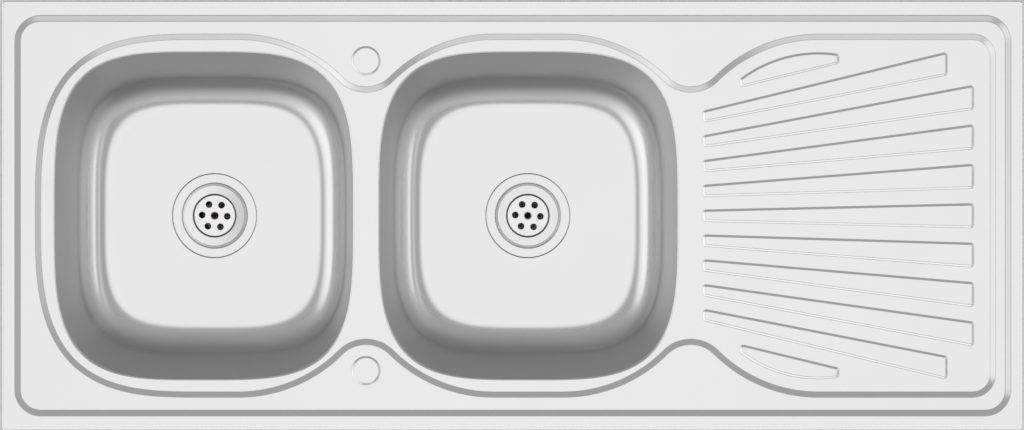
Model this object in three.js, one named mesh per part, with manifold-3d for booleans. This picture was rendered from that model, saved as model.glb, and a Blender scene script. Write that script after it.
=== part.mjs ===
// Inset kitchen sink in stainless steel: two deep-drawn bowls, a ribbed drainer, strainer wastes
// and rocking clips that grip the worktop. Sizes are in millimetres.
// +X runs along the sink towards the drainer, +Y towards the back edge and +Z up.
// The origin is the centre of the sink's outline, on the top face of the worktop.

import * as THREE from "three";
import { mergeVertices } from "three/addons/utils/BufferGeometryUtils.js";
import Module from "manifold-3d";

// ---------------------------------------------------------------- driving dimensions

const deckLength = 1200;
const deckDepth = 506;
const sheet = 0.8; // thickness of the pressed sheet, deck and bowls alike
const seatGap = 0.3; // glue line, weld or rubber squeeze between a piece and what carries it

// Rim: the flat band that lies over the worktop, with its edge turned down.
const rimHeight = 5.5;
const rimCornerRadius = 5;
const rimBendRadius = 2;
const rimEdgeLift = 0.5; // the turned-down edge stops this far above the worktop
const rimWidthEnds = 13.3;
const rimWidthSides = 16.2;

// Outer step: slopes down from the rim to the platform.
const stepWidth = 10;
const stepDepth = 3;
const stepCornerRadius = 32;

// Inner contour: slopes down from the platform to the level of the bowls and the drainer.
const contourInsetLeft = 37.5;
const contourInsetRight = 31.6;
const contourInsetSides = 38.5;
const contourWidth = 8.4;
const contourDepth = 3;
const contourEndExponent = 3.1;
const contourCornerRadius = 28;
const drainerWaist = 15.9; // from the right bowl's mouth to the waist before the drainer
const waistDip = 62; // how far the contour comes in beside the bowls
const waistRadius = 38;
const shoulderReach = 150; // from a waist to the point where the contour runs straight again

// Bowls.
const bowlLength = 350; // along X, between the walls at the mouth
const bowlSideGap = 14.1; // from the foot of the contour to the mouth, along Y
const bowlDepth = 150; // from the worktop plane to the flat floor
const bowlExponent = 3.7; // squareness of the rounded outline
const bowlDraftX = 7; // degrees
const bowlDraftY = 13;
const bowlFillet = 37;
const bowlInset = 61.5; // from the end of the deck to the left bowl's mouth
const bowlSpacing = 31.8; // between the two mouths
const lipRadius = 2;
const collarDepth = 3.5; // straight part of the deck's collar, down to the weld

// Raised tap marks, one behind and one in front of the bowls' gap.
const tapMarkRadius = 16.5;
const tapMarkBevel = 2;
const tapMarkHeight = 1;
const tapMarkInset = 71; // from the deck's long edge

// Drainer ribs, which fan out from a point far to their left.
const ribsPerSide = 4;
const ribStart = 30.7; // from the right bowl's mouth to the ribs' left ends
const ribEndInset = 58.4;
const outerRibEndInset = 89.6;
const ribFanRadius = 534; // from the centre of the fan to the ribs' left ends
const ribSideGap = 14; // from the outermost rib's right end to the foot of the contour
const ribWidthLeft = 13;
const ribWidthRight = 28;
const ribHeight = 1.8;
const ribBevel = 2.4;
const ribCornerRadius = 3.6;

// Leaf-shaped ribs between the outermost ribs and the contour's shoulder.
const leafShoulderGap = 23;
const leafRibGap = 18;
const leafStart = 58.4; // from the drainer's waist
const leafEnd = 173.8;

// Waste seat pressed into each bowl floor.
const wasteHoleRadius = 30;
const seatWidth = 11;
const seatSlope = 0.12;
const recessWidth = 9.5; // flat ring between the seat and the bevel round it
const recessBevel = 1.5;
const recessDepth = 1.6;
const seatLedge = 1;

// Strainer: dished flange with a perforated plate and a cup for the waste screw.
const strainerEdgeGap = 1; // from the flange's edge to the seat's upper edge
const strainerSheet = 0.9;
const flangeSealThickness = 0.5;
const flangeSealWidth = 6;
const flangeSealInset = 1.5; // from the seat's upper edge to the seal
const plateInset = 4.5; // from the edge of the waste hole to the edge of the plate
const plateStep = 2; // the plate lies this far below the foot of the dish
const plateStepWidth = 1.2;
const flangeRoll = 0.2; // the flange's edge stands this far over the line of the dish
const flangeRollWidth = 0.8;
const plateHoles = 6;
const plateHoleRadius = 4;
const plateHoleCircle = 15.3;
const plateTurn = -3; // degrees
const cupClearance = 0.35; // round the waste screw's head
const cupDepth = 4.6;

// Waste screw and the threaded insert below it.
const screwHeadRadius = 4.1;
const screwHeadHeight = 2.5;
const wasteScrewRadius = 3;
const wasteScrewLength = 17;
const wasteScrewChamfer = 0.4;
const insertRadius = 5;
const insertLength = 7;
const insertDrop = 3; // from the cup's underside to the insert
const insertProud = 0.5; // the insert stands this far out of its hub at each end

// Waste body: plastic cup with a tail for the trap.
const gasketWidth = 7;
const gasketOutset = 1; // from the seat's upper edge to the gasket
const gasketThickness = 2;
const bodyFlangeMargin = 1; // the flange reaches this far past the gasket
const bodyFlangeThickness = 3;
const bodyWall = 2.6;
const bodyCupInset = 3; // from the seat's upper edge to the inside of the body's cup
const bodyCupTaper = 2;
const cupHeight = 26;
const funnelHeight = 7;
const tailBore = 19;
const tailRadius = 23.9; // crest of the outlet's pipe thread
const tailLength = 34;

// Cross that holds the insert: a hub with arms whose ends sit in pockets in the cup's wall.
const hubRadius = 8;
const arms = 3;
const armWidth = 3;
const armBite = 1; // each arm starts this far inside the hub
const pocketDepth = 2.1; // into the cup's wall, at the foot of its taper

// Foam strip under the rim.
const sealWidth = 7.4;

// Sound-deadening pads.
const padSize = 180;
const padThickness = 2;
const padCornerRadius = 20;
const padHoleClearance = 7; // round the waste body's flange

// Worktop that the clips grip.
const openingInset = 10; // from the deck's edge to the edge of the opening

// Clips. Their own frame has X out of the sink, Y along its edge and Z up.
const clipsPerSide = 3;
const clipSpacing = 380;
const clipPlate = 1.5;
const clipFlange = 7; // width of the welded flange, out of the sink
const clipLength = 21; // along the edge
const clipEdgeGap = 0.6; // from the flange to the foot of the outer step
const clipShelfDrop = 3.5; // from the flange to the shelf that the jack screw bears on
const clipShelfReach = 12.5;
const pivotOut = 2;
const pivotDrop = 13.7; // from the platform's underside to the pin
const pinRadius = 2;
const pinHeadLip = 1; // the pin's heads stand this far out all round
const pinHeadHeight = 1.2;
const runningGap = 0.3;
const clawSideGap = 1; // from the claw to each ear of the bracket
const clawStrip = 2.5;
const clawEyeWall = 2.4; // round the pin
const clawArm = 28; // from the pin down to the foot
const clawBite = 5; // the claw reaches this far past the edge of the opening
const clawTooth = 3.5;
const clawNotches = 3; // V notches that split the claw's tooth into points
const clawNotchSpacing = 4;
const clawNotchDepth = 1.8;
const clawWeb = 0.4; // the claw's arm starts this far inside its eye
const eyeFrom = 170; // degrees of the arc that the eye shows between the claw's two arms
const eyeTo = -50;
const clawFolded = 35; // degrees between the folded claw and a jack screw that stands upright
const jackReach = 12; // from the pin to the jack screw
const jackTabDrop = 3;
const jackRadius = 2.5;
const jackLength = 28;
const jackHeadRadius = 4.2;
const jackHeadHeight = 3;
const jackHeadChamfer = 0.6;
const notchSides = 4; // of the square cutter that makes a notch
const drillReach = 4; // length of a drill, in thicknesses of the sheet that it goes through
const jackTipGap = 0.6; // open space between the folded screw's tip and the shelf

// Faces round a full turn.
const roundSteps = 20;
const bowlSteps = 36;
const holeSteps = 8;
const smallSteps = 8;
// Faces along one arc.
const cornerSteps = 2;
const stepCornerSteps = 5;
const contourSteps = 5;
const contourEndSteps = 9;
const ribCornerSteps = 2;
const eyeSteps = 6;
const bendAngles = [0, 45, 90]; // degrees
const shallowTurn = 25; // corners that turn by fewer degrees than this stay sharp
const filletAngles = [7, 24, 42, 62, 90]; // degrees from upright, down a bowl's floor fillet

// ---------------------------------------------------------------- places that follow from them

const halfLength = deckLength / 2;
const halfDepth = deckDepth / 2;
const platformZ = rimHeight - stepDepth;
const basinZ = platformZ - contourDepth;
const weldZ = basinZ - lipRadius - collarDepth;
const bowlFloorZ = -bowlDepth;
const leftBowlX = -halfLength + bowlInset + bowlLength / 2;
const rightBowlX = leftBowlX + bowlLength + bowlSpacing;
const rightMouthX = rightBowlX + bowlLength / 2;
const waistXs = [(leftBowlX + rightBowlX) / 2, rightMouthX + drainerWaist];
const contourTop = halfDepth - contourInsetSides;
const bowlWidth = 2 * (contourTop - contourWidth - bowlSideGap);
const platformUnderZ = platformZ - sheet;
const seatRadius = wasteHoleRadius + seatWidth;
const recessRadius = seatRadius + recessWidth + recessBevel;
const strainerRadius = seatRadius - strainerEdgeGap;
const plateRadius = wasteHoleRadius - plateInset;
const cupRadius = screwHeadRadius + cupClearance;
const gasketRadius = seatRadius + gasketOutset;
const bodyFlangeRadius = gasketRadius + gasketWidth + bodyFlangeMargin;
const bodyCupRadius = seatRadius - bodyCupInset;
const padHoleRadius = bodyFlangeRadius + padHoleClearance;
const clawWidth = clipLength - 2 * (clipPlate + clawSideGap);
const clawEyeRadius = pinRadius + clawEyeWall;

const wasm = await Module();
wasm.setup();

const radians = THREE.MathUtils.degToRad;

// ---------------------------------------------------------------- outlines

// Points of an arc from one angle to another, in radians.
function arc([x, y], radius, from, to, steps) {
  return Array.from({ length: steps + 1 }, (_, i) => {
    const angle = from + ((to - from) * i) / steps;
    return [x + radius * Math.cos(angle), y + radius * Math.sin(angle)];
  });
}

function circle(centre, radius, steps) {
  return arc(centre, radius, 0, 2 * Math.PI, steps).slice(0, -1);
}

// Rounded outline between an ellipse and a rectangle: a higher exponent is squarer.
function oval([x, y], halfX, halfY, exponent, steps, from = 0, to = 2 * Math.PI) {
  const count = to - from < 2 * Math.PI ? steps + 1 : steps;
  const bulge = (value) => Math.sign(value) * Math.abs(value) ** (2 / exponent);
  return Array.from({ length: count }, (_, i) => {
    const angle = from + ((to - from) * i) / steps;
    return [x + halfX * bulge(Math.cos(angle)), y + halfY * bulge(Math.sin(angle))];
  });
}

function roundedRectangle(halfX, halfY, radius, steps) {
  return [0, 1, 2, 3].flatMap((quarter) => {
    const signX = quarter === 0 || quarter === 3 ? 1 : -1;
    const signY = quarter < 2 ? 1 : -1;
    const centre = [signX * (halfX - radius), signY * (halfY - radius)];
    return arc(centre, radius, (quarter * Math.PI) / 2, ((quarter + 1) * Math.PI) / 2, steps);
  });
}

// Moves every side of a polygon inwards. The polygon runs anticlockwise.
function insetPolygon(corners, inset) {
  const side = (i) => {
    const [x0, y0] = corners[i];
    const [x1, y1] = corners[(i + 1) % corners.length];
    const length = Math.hypot(x1 - x0, y1 - y0);
    const [dx, dy] = [(x1 - x0) / length, (y1 - y0) / length];
    return { x: x0 - dy * inset, y: y0 + dx * inset, dx, dy };
  };
  return corners.map((_, i) => {
    const a = side((i + corners.length - 1) % corners.length);
    const b = side(i);
    const reach = ((b.x - a.x) * b.dy - (b.y - a.y) * b.dx) / (a.dx * b.dy - a.dy * b.dx);
    return [a.x + a.dx * reach, a.y + a.dy * reach];
  });
}

// Rounds the sharp corners of a convex polygon and leaves the shallow ones as they are.
function roundCorners(corners, radius, steps) {
  return corners.flatMap((corner, i) => {
    const before = corners[(i + corners.length - 1) % corners.length];
    const after = corners[(i + 1) % corners.length];
    const into = Math.atan2(corner[1] - before[1], corner[0] - before[0]);
    const out = Math.atan2(after[1] - corner[1], after[0] - corner[0]);
    const turn = (out - into + 4 * Math.PI) % (2 * Math.PI);
    if (turn < radians(shallowTurn)) return [corner];
    const back = radius * Math.tan(turn / 2);
    const centre = [
      corner[0] - back * Math.cos(into) - radius * Math.sin(into),
      corner[1] - back * Math.sin(into) + radius * Math.cos(into),
    ];
    return arc(centre, radius, into - Math.PI / 2, into + turn - Math.PI / 2, steps);
  });
}

// The shoulder arc is tangent to the straight run of the contour and to the waist's arc.
const shoulderRadius =
  (shoulderReach ** 2 + (waistRadius - waistDip) ** 2 - waistRadius ** 2) / (2 * waistDip);
const shoulderY = contourTop - shoulderRadius;
const waistY = contourTop - waistDip + waistRadius;
const tangentAngle = Math.atan2(waistY - shoulderY, shoulderReach);

function edgeOutline(grow) {
  return roundedRectangle(halfLength + grow, halfDepth + grow, rimCornerRadius + grow, cornerSteps);
}

// Inner contour, anticlockwise from its right end, moved inwards by an inset.
function contourOutline(inset) {
  const right = halfLength - contourInsetRight;
  const corner = [right - contourCornerRadius, contourTop - contourCornerRadius];
  const steps = contourSteps;
  const shoulder = shoulderRadius - inset;
  const upright = Math.PI / 2;
  const waist = (x) => [
    ...arc([x + shoulderReach, shoulderY], shoulder, upright, Math.PI - tangentAngle, steps),
    ...arc([x, waistY], waistRadius + inset, -tangentAngle, tangentAngle - Math.PI, steps).slice(1),
    ...arc([x - shoulderReach, shoulderY], shoulder, tangentAngle, upright, steps).slice(1),
  ];
  const endHalves = [leftBowlX - contourInsetLeft + halfLength - inset, contourTop - inset];
  const upper = [
    ...arc(corner, contourCornerRadius - inset, 0, upright, steps),
    ...waist(waistXs[1]),
    ...waist(waistXs[0]),
    ...oval([leftBowlX, 0], ...endHalves, contourEndExponent, contourEndSteps, upright, Math.PI),
  ];
  const lower = upper
    .slice(0, -1)
    .reverse()
    .map(([x, y]) => [x, -y]);
  return [...upper, ...lower];
}

function stepOutline(inset) {
  const halfX = halfLength - rimWidthEnds - inset;
  const halfY = halfDepth - rimWidthSides - inset;
  return roundedRectangle(halfX, halfY, stepCornerRadius - inset, stepCornerSteps);
}

function mouthOutline(bowlX, outset) {
  return oval([bowlX, 0], bowlLength / 2 + outset, bowlWidth / 2 + outset, bowlExponent, bowlSteps);
}

const ribLeftX = rightMouthX + ribStart;
const ribRightX = halfLength - ribEndInset;
const outerRibRightX = halfLength - outerRibEndInset;

function ribHalfWidth(x) {
  const share = (x - ribLeftX) / (ribRightX - ribLeftX);
  return (ribWidthLeft + (ribWidthRight - ribWidthLeft) * share) / 2;
}

// The outermost rib's right end keeps its gap to the contour, and the ribs between share the fan.
const outerRibEndY = contourTop - contourWidth - ribSideGap - ribHalfWidth(outerRibRightX);
const ribFanSlope = outerRibEndY / (ribsPerSide * (outerRibRightX - ribLeftX + ribFanRadius));

function ribMiddle(number, x) {
  return number * ribFanSlope * (x - ribLeftX + ribFanRadius);
}

function ribOutline(number, inset) {
  const left = ribLeftX;
  const right = Math.abs(number) === ribsPerSide ? outerRibRightX : ribRightX;
  const corners = [
    [left, ribMiddle(number, left) - ribHalfWidth(left)],
    [right, ribMiddle(number, right) - ribHalfWidth(right)],
    [right, ribMiddle(number, right) + ribHalfWidth(right)],
    [left, ribMiddle(number, left) + ribHalfWidth(left)],
  ];
  return roundCorners(insetPolygon(corners, inset), ribCornerRadius - inset, ribCornerSteps);
}

// side is +1 for the leaf at the back and -1 for the one in front.
function leafOutline(side, inset) {
  const waistX = waistXs[1];
  const [left, right] = [waistX + leafStart, waistX + leafEnd];
  const lowerEdge = (x) => ribMiddle(ribsPerSide, x) + ribHalfWidth(x) + leafRibGap;
  const centre = [waistX + shoulderReach, shoulderY];
  const radius = shoulderRadius - leafShoulderGap;
  const angleAt = (x) => Math.acos((x - centre[0]) / radius);
  const corners = [
    [left, lowerEdge(left)],
    [right, lowerEdge(right)],
    ...arc(centre, radius, angleAt(right), angleAt(left), contourSteps),
  ];
  const outline = roundCorners(insetPolygon(corners, inset), ribCornerRadius - inset, ribCornerSteps);
  return side > 0 ? outline : outline.map(([x, y]) => [x, -y]).reverse();
}

// ---------------------------------------------------------------- surfaces

// A closed surface built from rings of points that all run anticlockwise seen from above.
class Shell {
  constructor() {
    this.points = [];
    this.faces = [];
    this.underside = false;
  }

  ring(outline, z) {
    const ids = outline.map(([x, y]) => this.points.push(x, y, z) / 3 - 1);
    return { ids, outline };
  }

  face(a, b, c) {
    this.faces.push(...(this.underside ? [a, c, b] : [a, b, c]));
  }

  // Band between two rings of equal count. It faces up when the first ring is the larger one.
  band(first, second) {
    first.ids.forEach((a, i) => {
      const next = (i + 1) % first.ids.length;
      this.face(a, first.ids[next], second.ids[next]);
      this.face(a, second.ids[next], second.ids[i]);
    });
  }

  bands(rings) {
    for (let i = 1; i < rings.length; i += 1) this.band(rings[i - 1], rings[i]);
  }

  // Flat area inside one ring and outside others.
  flat(outer, holes = []) {
    const toVectors = (outline) => outline.map(([x, y]) => new THREE.Vector2(x, y));
    const reversed = holes.map(({ ids, outline }) => ({
      ids: [...ids].reverse(),
      outline: [...outline].reverse(),
    }));
    const ids = [outer, ...reversed].flatMap((ring) => ring.ids);
    const triangles = THREE.ShapeUtils.triangulateShape(
      toVectors(outer.outline),
      reversed.map((ring) => toVectors(ring.outline)),
    );
    for (const [a, b, c] of triangles) this.face(ids[a], ids[b], ids[c]);
  }

  geometry() {
    const made = new THREE.BufferGeometry();
    made.setAttribute("position", new THREE.Float32BufferAttribute(this.points, 3));
    made.setIndex(this.faces);
    return made;
  }
}

// Body of revolution about Z. The profile holds [radius, z] points, anticlockwise.
function turned(profile, steps = roundSteps) {
  const points = profile.map(([radius, z]) => new THREE.Vector2(radius, z));
  if (profile.every(([radius]) => radius > 0)) points.push(points[0].clone());
  return new THREE.LatheGeometry(points, steps).rotateX(Math.PI / 2);
}

// Flat outline pushed along Y, with the outline's second coordinate upright.
function folded(outline, width, holes = []) {
  const shape = new THREE.Shape(outline.map(([x, z]) => new THREE.Vector2(x, z)));
  shape.holes = holes.map((hole) => new THREE.Path(hole.map(([x, z]) => new THREE.Vector2(x, z))));
  const made = new THREE.ExtrudeGeometry(shape, { depth: width, bevelEnabled: false });
  return made.rotateX(Math.PI / 2).translate(0, width / 2, 0);
}

// Upright cylinder to drill with, centred on the origin.
function drillAt(radius, length, steps) {
  return new THREE.CylinderGeometry(radius, radius, length, steps).rotateX(Math.PI / 2);
}

function toSolid(geometry) {
  const bare = geometry.clone();
  bare.deleteAttribute("normal");
  bare.deleteAttribute("uv");
  const merged = mergeVertices(bare, 1e-4);
  return new wasm.Manifold(
    new wasm.Mesh({
      numProp: 3,
      vertProperties: merged.attributes.position.array,
      triVerts: new Uint32Array(merged.index.array),
    }),
  );
}

function toGeometry(solid) {
  const mesh = solid.getMesh();
  const made = new THREE.BufferGeometry();
  made.setAttribute("position", new THREE.BufferAttribute(mesh.vertProperties, 3));
  made.setIndex(new THREE.BufferAttribute(mesh.triVerts, 1));
  return made;
}

function joined(...geometries) {
  return toGeometry(geometries.map(toSolid).reduce((all, solid) => all.add(solid)));
}

function cut(geometry, ...tools) {
  return toGeometry(tools.map(toSolid).reduce((rest, tool) => rest.subtract(tool), toSolid(geometry)));
}

// ---------------------------------------------------------------- deck

// Quarter bend in a sheet: [distance across, height] of each step, measured from its centre.
function bend(radius) {
  return bendAngles.map((angle) => [
    radius * Math.sin(radians(angle)),
    radius * Math.cos(radians(angle)),
  ]);
}

// One skin of the deck, from the turned-down edge to the foot of each bowl's collar.
function deckSkin(shell, drop) {
  const edge = bend(rimBendRadius - drop).map(([out, up]) => {
    const grow = out - rimBendRadius;
    return shell.ring(edgeOutline(grow), rimHeight - rimBendRadius + up);
  });
  const edgeFoot = shell.ring(edge.at(-1).outline, rimEdgeLift);
  shell.bands([edgeFoot, ...edge.reverse()]);

  const stepTop = shell.ring(stepOutline(0), rimHeight - drop);
  const stepFoot = shell.ring(stepOutline(stepWidth), platformZ - drop);
  shell.flat(edge.at(-1), [stepTop]);
  shell.band(stepTop, stepFoot);

  const tapMarks = [-1, 1].map((side) => {
    const centre = [waistXs[0], side * (halfDepth - tapMarkInset)];
    const foot = shell.ring(circle(centre, tapMarkRadius, roundSteps), platformZ - drop);
    const topOutline = circle(centre, tapMarkRadius - tapMarkBevel, roundSteps);
    const top = shell.ring(topOutline, platformZ + tapMarkHeight - drop);
    shell.band(foot, top);
    shell.flat(top);
    return foot;
  });
  const contourTopRing = shell.ring(contourOutline(0), platformZ - drop);
  const contourFoot = shell.ring(contourOutline(contourWidth), basinZ - drop);
  shell.flat(stepFoot, [contourTopRing, ...tapMarks]);
  shell.band(contourTopRing, contourFoot);

  const ribNumbers = Array.from({ length: 2 * ribsPerSide + 1 }, (_, i) => i - ribsPerSide);
  const raised = [
    ...ribNumbers.map((number) => (inset) => ribOutline(number, inset)),
    ...[-1, 1].map((side) => (inset) => leafOutline(side, inset)),
  ];
  const ribFeet = raised.map((outlineAt) => {
    const foot = shell.ring(outlineAt(0), basinZ - drop);
    const top = shell.ring(outlineAt(ribBevel), basinZ + ribHeight - drop);
    shell.band(foot, top);
    shell.flat(top);
    return foot;
  });

  const collars = [leftBowlX, rightBowlX].map((bowlX) => {
    const lip = bend(lipRadius - drop).map(([inwards, up]) =>
      shell.ring(mouthOutline(bowlX, lipRadius - inwards), basinZ - lipRadius + up),
    );
    const foot = shell.ring(mouthOutline(bowlX, drop), weldZ);
    shell.bands([...lip, foot]);
    return { mouth: lip[0], foot };
  });
  shell.flat(contourFoot, [...ribFeet, ...collars.map((collar) => collar.mouth)]);
  return { edgeFoot, collarFeet: collars.map((collar) => collar.foot) };
}

function deckPanel() {
  const shell = new Shell();
  const top = deckSkin(shell, 0);
  shell.underside = true;
  const under = deckSkin(shell, sheet);
  shell.underside = false;
  shell.band(under.edgeFoot, top.edgeFoot);
  top.collarFeet.forEach((foot, i) => shell.band(foot, under.collarFeet[i]));
  return shell.geometry();
}

// ---------------------------------------------------------------- bowls

// Half size of the bowl at a height: a drafted wall that runs tangentially into the floor fillet.
function bowlHalf(z, mouthHalf, draft, grow) {
  const angle = radians(draft);
  const radius = bowlFillet + grow;
  const floorZ = bowlFloorZ - grow;
  const wall = (height) => mouthHalf + grow / Math.cos(angle) - Math.tan(angle) * (weldZ - height);
  const tangentZ = floorZ + radius - radius * Math.sin(angle);
  if (z >= tangentZ) return wall(z);
  const centre = wall(tangentZ) - radius * Math.cos(angle);
  return centre + Math.sqrt(Math.max(0, radius ** 2 - (floorZ + radius - z) ** 2));
}

// One skin of a bowl, from the weld down to the waste hole. grow is 0 inside and the sheet outside.
function bowlSkin(shell, grow) {
  const floorZ = bowlFloorZ - grow;
  const radius = bowlFillet + grow;
  const filletHeights = filletAngles.map((angle) => floorZ + radius * (1 - Math.sin(radians(angle))));
  const walls = [weldZ, ...filletHeights].map((z) => {
    const halfX = bowlHalf(z, bowlLength / 2, bowlDraftX, grow);
    const halfY = bowlHalf(z, bowlWidth / 2, bowlDraftY, grow);
    return shell.ring(oval([0, 0], halfX, halfY, bowlExponent, bowlSteps), z);
  });
  const seat = [
    [recessRadius, 0],
    [recessRadius - recessBevel, -recessDepth],
    [seatRadius, -recessDepth],
    [wasteHoleRadius + seatLedge, seatZ(wasteHoleRadius + seatLedge)],
    [wasteHoleRadius, seatZ(wasteHoleRadius + seatLedge)],
  ].map(([r, z]) => shell.ring(circle([0, 0], r, bowlSteps), floorZ + z));
  return [...walls, ...seat];
}

// Height of the seat's cone above the bowl floor at a radius.
function seatZ(radius) {
  return -recessDepth - (seatRadius - radius) * seatSlope;
}

function bowl() {
  const shell = new Shell();
  const inside = bowlSkin(shell, 0);
  const outside = bowlSkin(shell, sheet).reverse();
  shell.bands([...inside, ...outside, inside[0]]);
  return shell.geometry();
}

// ---------------------------------------------------------------- waste, measured from the bowl floor

const flangeRise = seatGap + flangeSealThickness + seatGap; // strainer's underside above the seat
const sealOuterRadius = seatRadius - flangeSealInset;
const strainerZ = (radius) => seatZ(radius) + flangeRise + strainerSheet;
const dishRadius = plateRadius + plateStepWidth;
const plateZ = strainerZ(dishRadius) - plateStep;
const cupFloorZ = plateZ - cupDepth;
const gasketTopZ = -recessDepth - sheet - seatGap;
const bodyTopZ = gasketTopZ - gasketThickness - seatGap;
const cupBottomZ = bodyTopZ - cupHeight;
const tailTopZ = cupBottomZ - funnelHeight;
const tailEndZ = tailTopZ - tailLength;
const screwTopZ = cupFloorZ + seatGap + screwHeadHeight;
const screwUnderheadZ = cupFloorZ + seatGap;
const insertTopZ = cupFloorZ - strainerSheet - insertDrop;
const hubTopZ = insertTopZ - insertProud;
const hubBottomZ = insertTopZ - insertLength + insertProud;

function flangeSeal() {
  const inner = sealOuterRadius - flangeSealWidth;
  const low = (radius) => seatZ(radius) + seatGap;
  return turned([
    [inner, low(inner)],
    [sealOuterRadius, low(sealOuterRadius)],
    [sealOuterRadius, low(sealOuterRadius) + flangeSealThickness],
    [inner, low(inner) + flangeSealThickness],
  ]);
}

function strainer() {
  const bore = wasteScrewRadius + runningGap;
  const rollRadius = strainerRadius - flangeRollWidth;
  const dish = turned([
    [bore, cupFloorZ - strainerSheet],
    [cupRadius + strainerSheet, cupFloorZ - strainerSheet],
    [cupRadius + strainerSheet, plateZ - strainerSheet],
    [plateRadius, plateZ - strainerSheet],
    [dishRadius, strainerZ(dishRadius) - strainerSheet],
    [strainerRadius, strainerZ(strainerRadius) - strainerSheet],
    [strainerRadius, strainerZ(strainerRadius) - flangeRoll],
    [rollRadius, strainerZ(rollRadius) + flangeRoll],
    [dishRadius, strainerZ(dishRadius)],
    [plateRadius, plateZ],
    [cupRadius, plateZ],
    [cupRadius, cupFloorZ],
    [bore, cupFloorZ],
  ]);
  const drills = Array.from({ length: plateHoles }, (_, i) => {
    const angle = (2 * Math.PI * i) / plateHoles + radians(plateTurn);
    const drill = drillAt(plateHoleRadius, drillReach * strainerSheet, holeSteps);
    return drill.translate(plateHoleCircle * Math.cos(angle), plateHoleCircle * Math.sin(angle), plateZ);
  });
  return cut(dish, ...drills);
}

function wasteScrew() {
  return turned(
    [
      [0, screwUnderheadZ - wasteScrewLength],
      [wasteScrewRadius, screwUnderheadZ - wasteScrewLength],
      [wasteScrewRadius, screwUnderheadZ],
      [screwHeadRadius, screwUnderheadZ],
      [screwHeadRadius, screwTopZ - wasteScrewChamfer],
      [screwHeadRadius - wasteScrewChamfer, screwTopZ],
      [0, screwTopZ],
    ],
    holeSteps,
  );
}

function brassInsert() {
  const bore = wasteScrewRadius + runningGap;
  return turned(
    [
      [bore, insertTopZ - insertLength],
      [insertRadius, insertTopZ - insertLength],
      [insertRadius, insertTopZ],
      [bore, insertTopZ],
    ],
    holeSteps,
  );
}

function bodyGasket() {
  return turned([
    [gasketRadius, gasketTopZ - gasketThickness],
    [gasketRadius + gasketWidth, gasketTopZ - gasketThickness],
    [gasketRadius + gasketWidth, gasketTopZ],
    [gasketRadius, gasketTopZ],
  ]);
}

// The arms of the cross, or with a gap the pockets that take their ends.
function crossArms(gap) {
  const start = hubRadius - armBite;
  const end = bodyCupRadius - bodyCupTaper + pocketDepth + gap;
  const height = hubTopZ - hubBottomZ + 2 * gap;
  return Array.from({ length: arms }, (_, i) => {
    const arm = new THREE.BoxGeometry(end - start, armWidth + 2 * gap, height);
    arm.translate((start + end) / 2, 0, (hubTopZ + hubBottomZ) / 2);
    return arm.rotateZ((2 * Math.PI * i) / arms + Math.PI / 2);
  });
}

function wasteCross() {
  const hubBore = insertRadius + seatGap;
  const hub = turned(
    [
      [hubBore, hubBottomZ],
      [hubRadius, hubBottomZ],
      [hubRadius, hubTopZ],
      [hubBore, hubTopZ],
    ],
    holeSteps,
  );
  return joined(hub, ...crossArms(0));
}

function wasteBody() {
  const shell = turned([
    [tailBore, tailEndZ],
    [tailRadius, tailEndZ],
    [tailRadius, tailTopZ - bodyWall],
    [bodyCupRadius - bodyCupTaper + bodyWall, cupBottomZ - bodyWall / 2],
    [bodyCupRadius + bodyWall, bodyTopZ - bodyFlangeThickness],
    [bodyFlangeRadius, bodyTopZ - bodyFlangeThickness],
    [bodyFlangeRadius, bodyTopZ],
    [bodyCupRadius, bodyTopZ],
    [bodyCupRadius - bodyCupTaper, cupBottomZ],
    [tailBore, tailTopZ],
  ]);
  return cut(shell, ...crossArms(seatGap));
}

function soundPad() {
  const shell = new Shell();
  const top = bowlFloorZ - sheet - seatGap;
  const square = roundedRectangle(padSize / 2, padSize / 2, padCornerRadius, cornerSteps);
  const hole = circle([0, 0], padHoleRadius, roundSteps);
  const upper = [square, hole].map((outline) => shell.ring(outline, top));
  const lower = [square, hole].map((outline) => shell.ring(outline, top - padThickness));
  shell.flat(upper[0], [upper[1]]);
  shell.band(lower[0], upper[0]);
  shell.band(upper[1], lower[1]);
  shell.underside = true;
  shell.flat(lower[0], [lower[1]]);
  return shell.geometry();
}

function rimSeal() {
  const shell = new Shell();
  const outset = rimBendRadius;
  const outline = (inset) => {
    const radius = rimCornerRadius + sealWidth - inset;
    return roundedRectangle(halfLength - inset, halfDepth - inset, radius, cornerSteps);
  };
  const rings = [
    [outset, 0],
    [outset, rimHeight - sheet - seatGap],
    [outset + sealWidth, rimHeight - sheet - seatGap],
    [outset + sealWidth, 0],
  ].map(([inset, z]) => shell.ring(outline(inset), z));
  shell.bands([...rings, rings[0]]);
  return shell.geometry();
}

// ---------------------------------------------------------------- clips, from the platform's underside

// The flange of a clip is welded under the platform, beside the foot of the outer step.

const stepFootX = halfLength - rimWidthEnds - stepWidth;
const stepFootY = halfDepth - rimWidthSides - stepWidth;
const clipX = stepFootX - clipFlange / 2 - clipEdgeGap;
const clipY = stepFootY - clipFlange / 2 - clipEdgeGap;
const clawFoot = halfDepth - openingInset - clipY - pivotOut + clawBite;
const clipTopZ = -seatGap;
const shelfZ = clipTopZ - clipShelfDrop; // upper face of the shelf
const pivot = [pivotOut, -pivotDrop];

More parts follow.
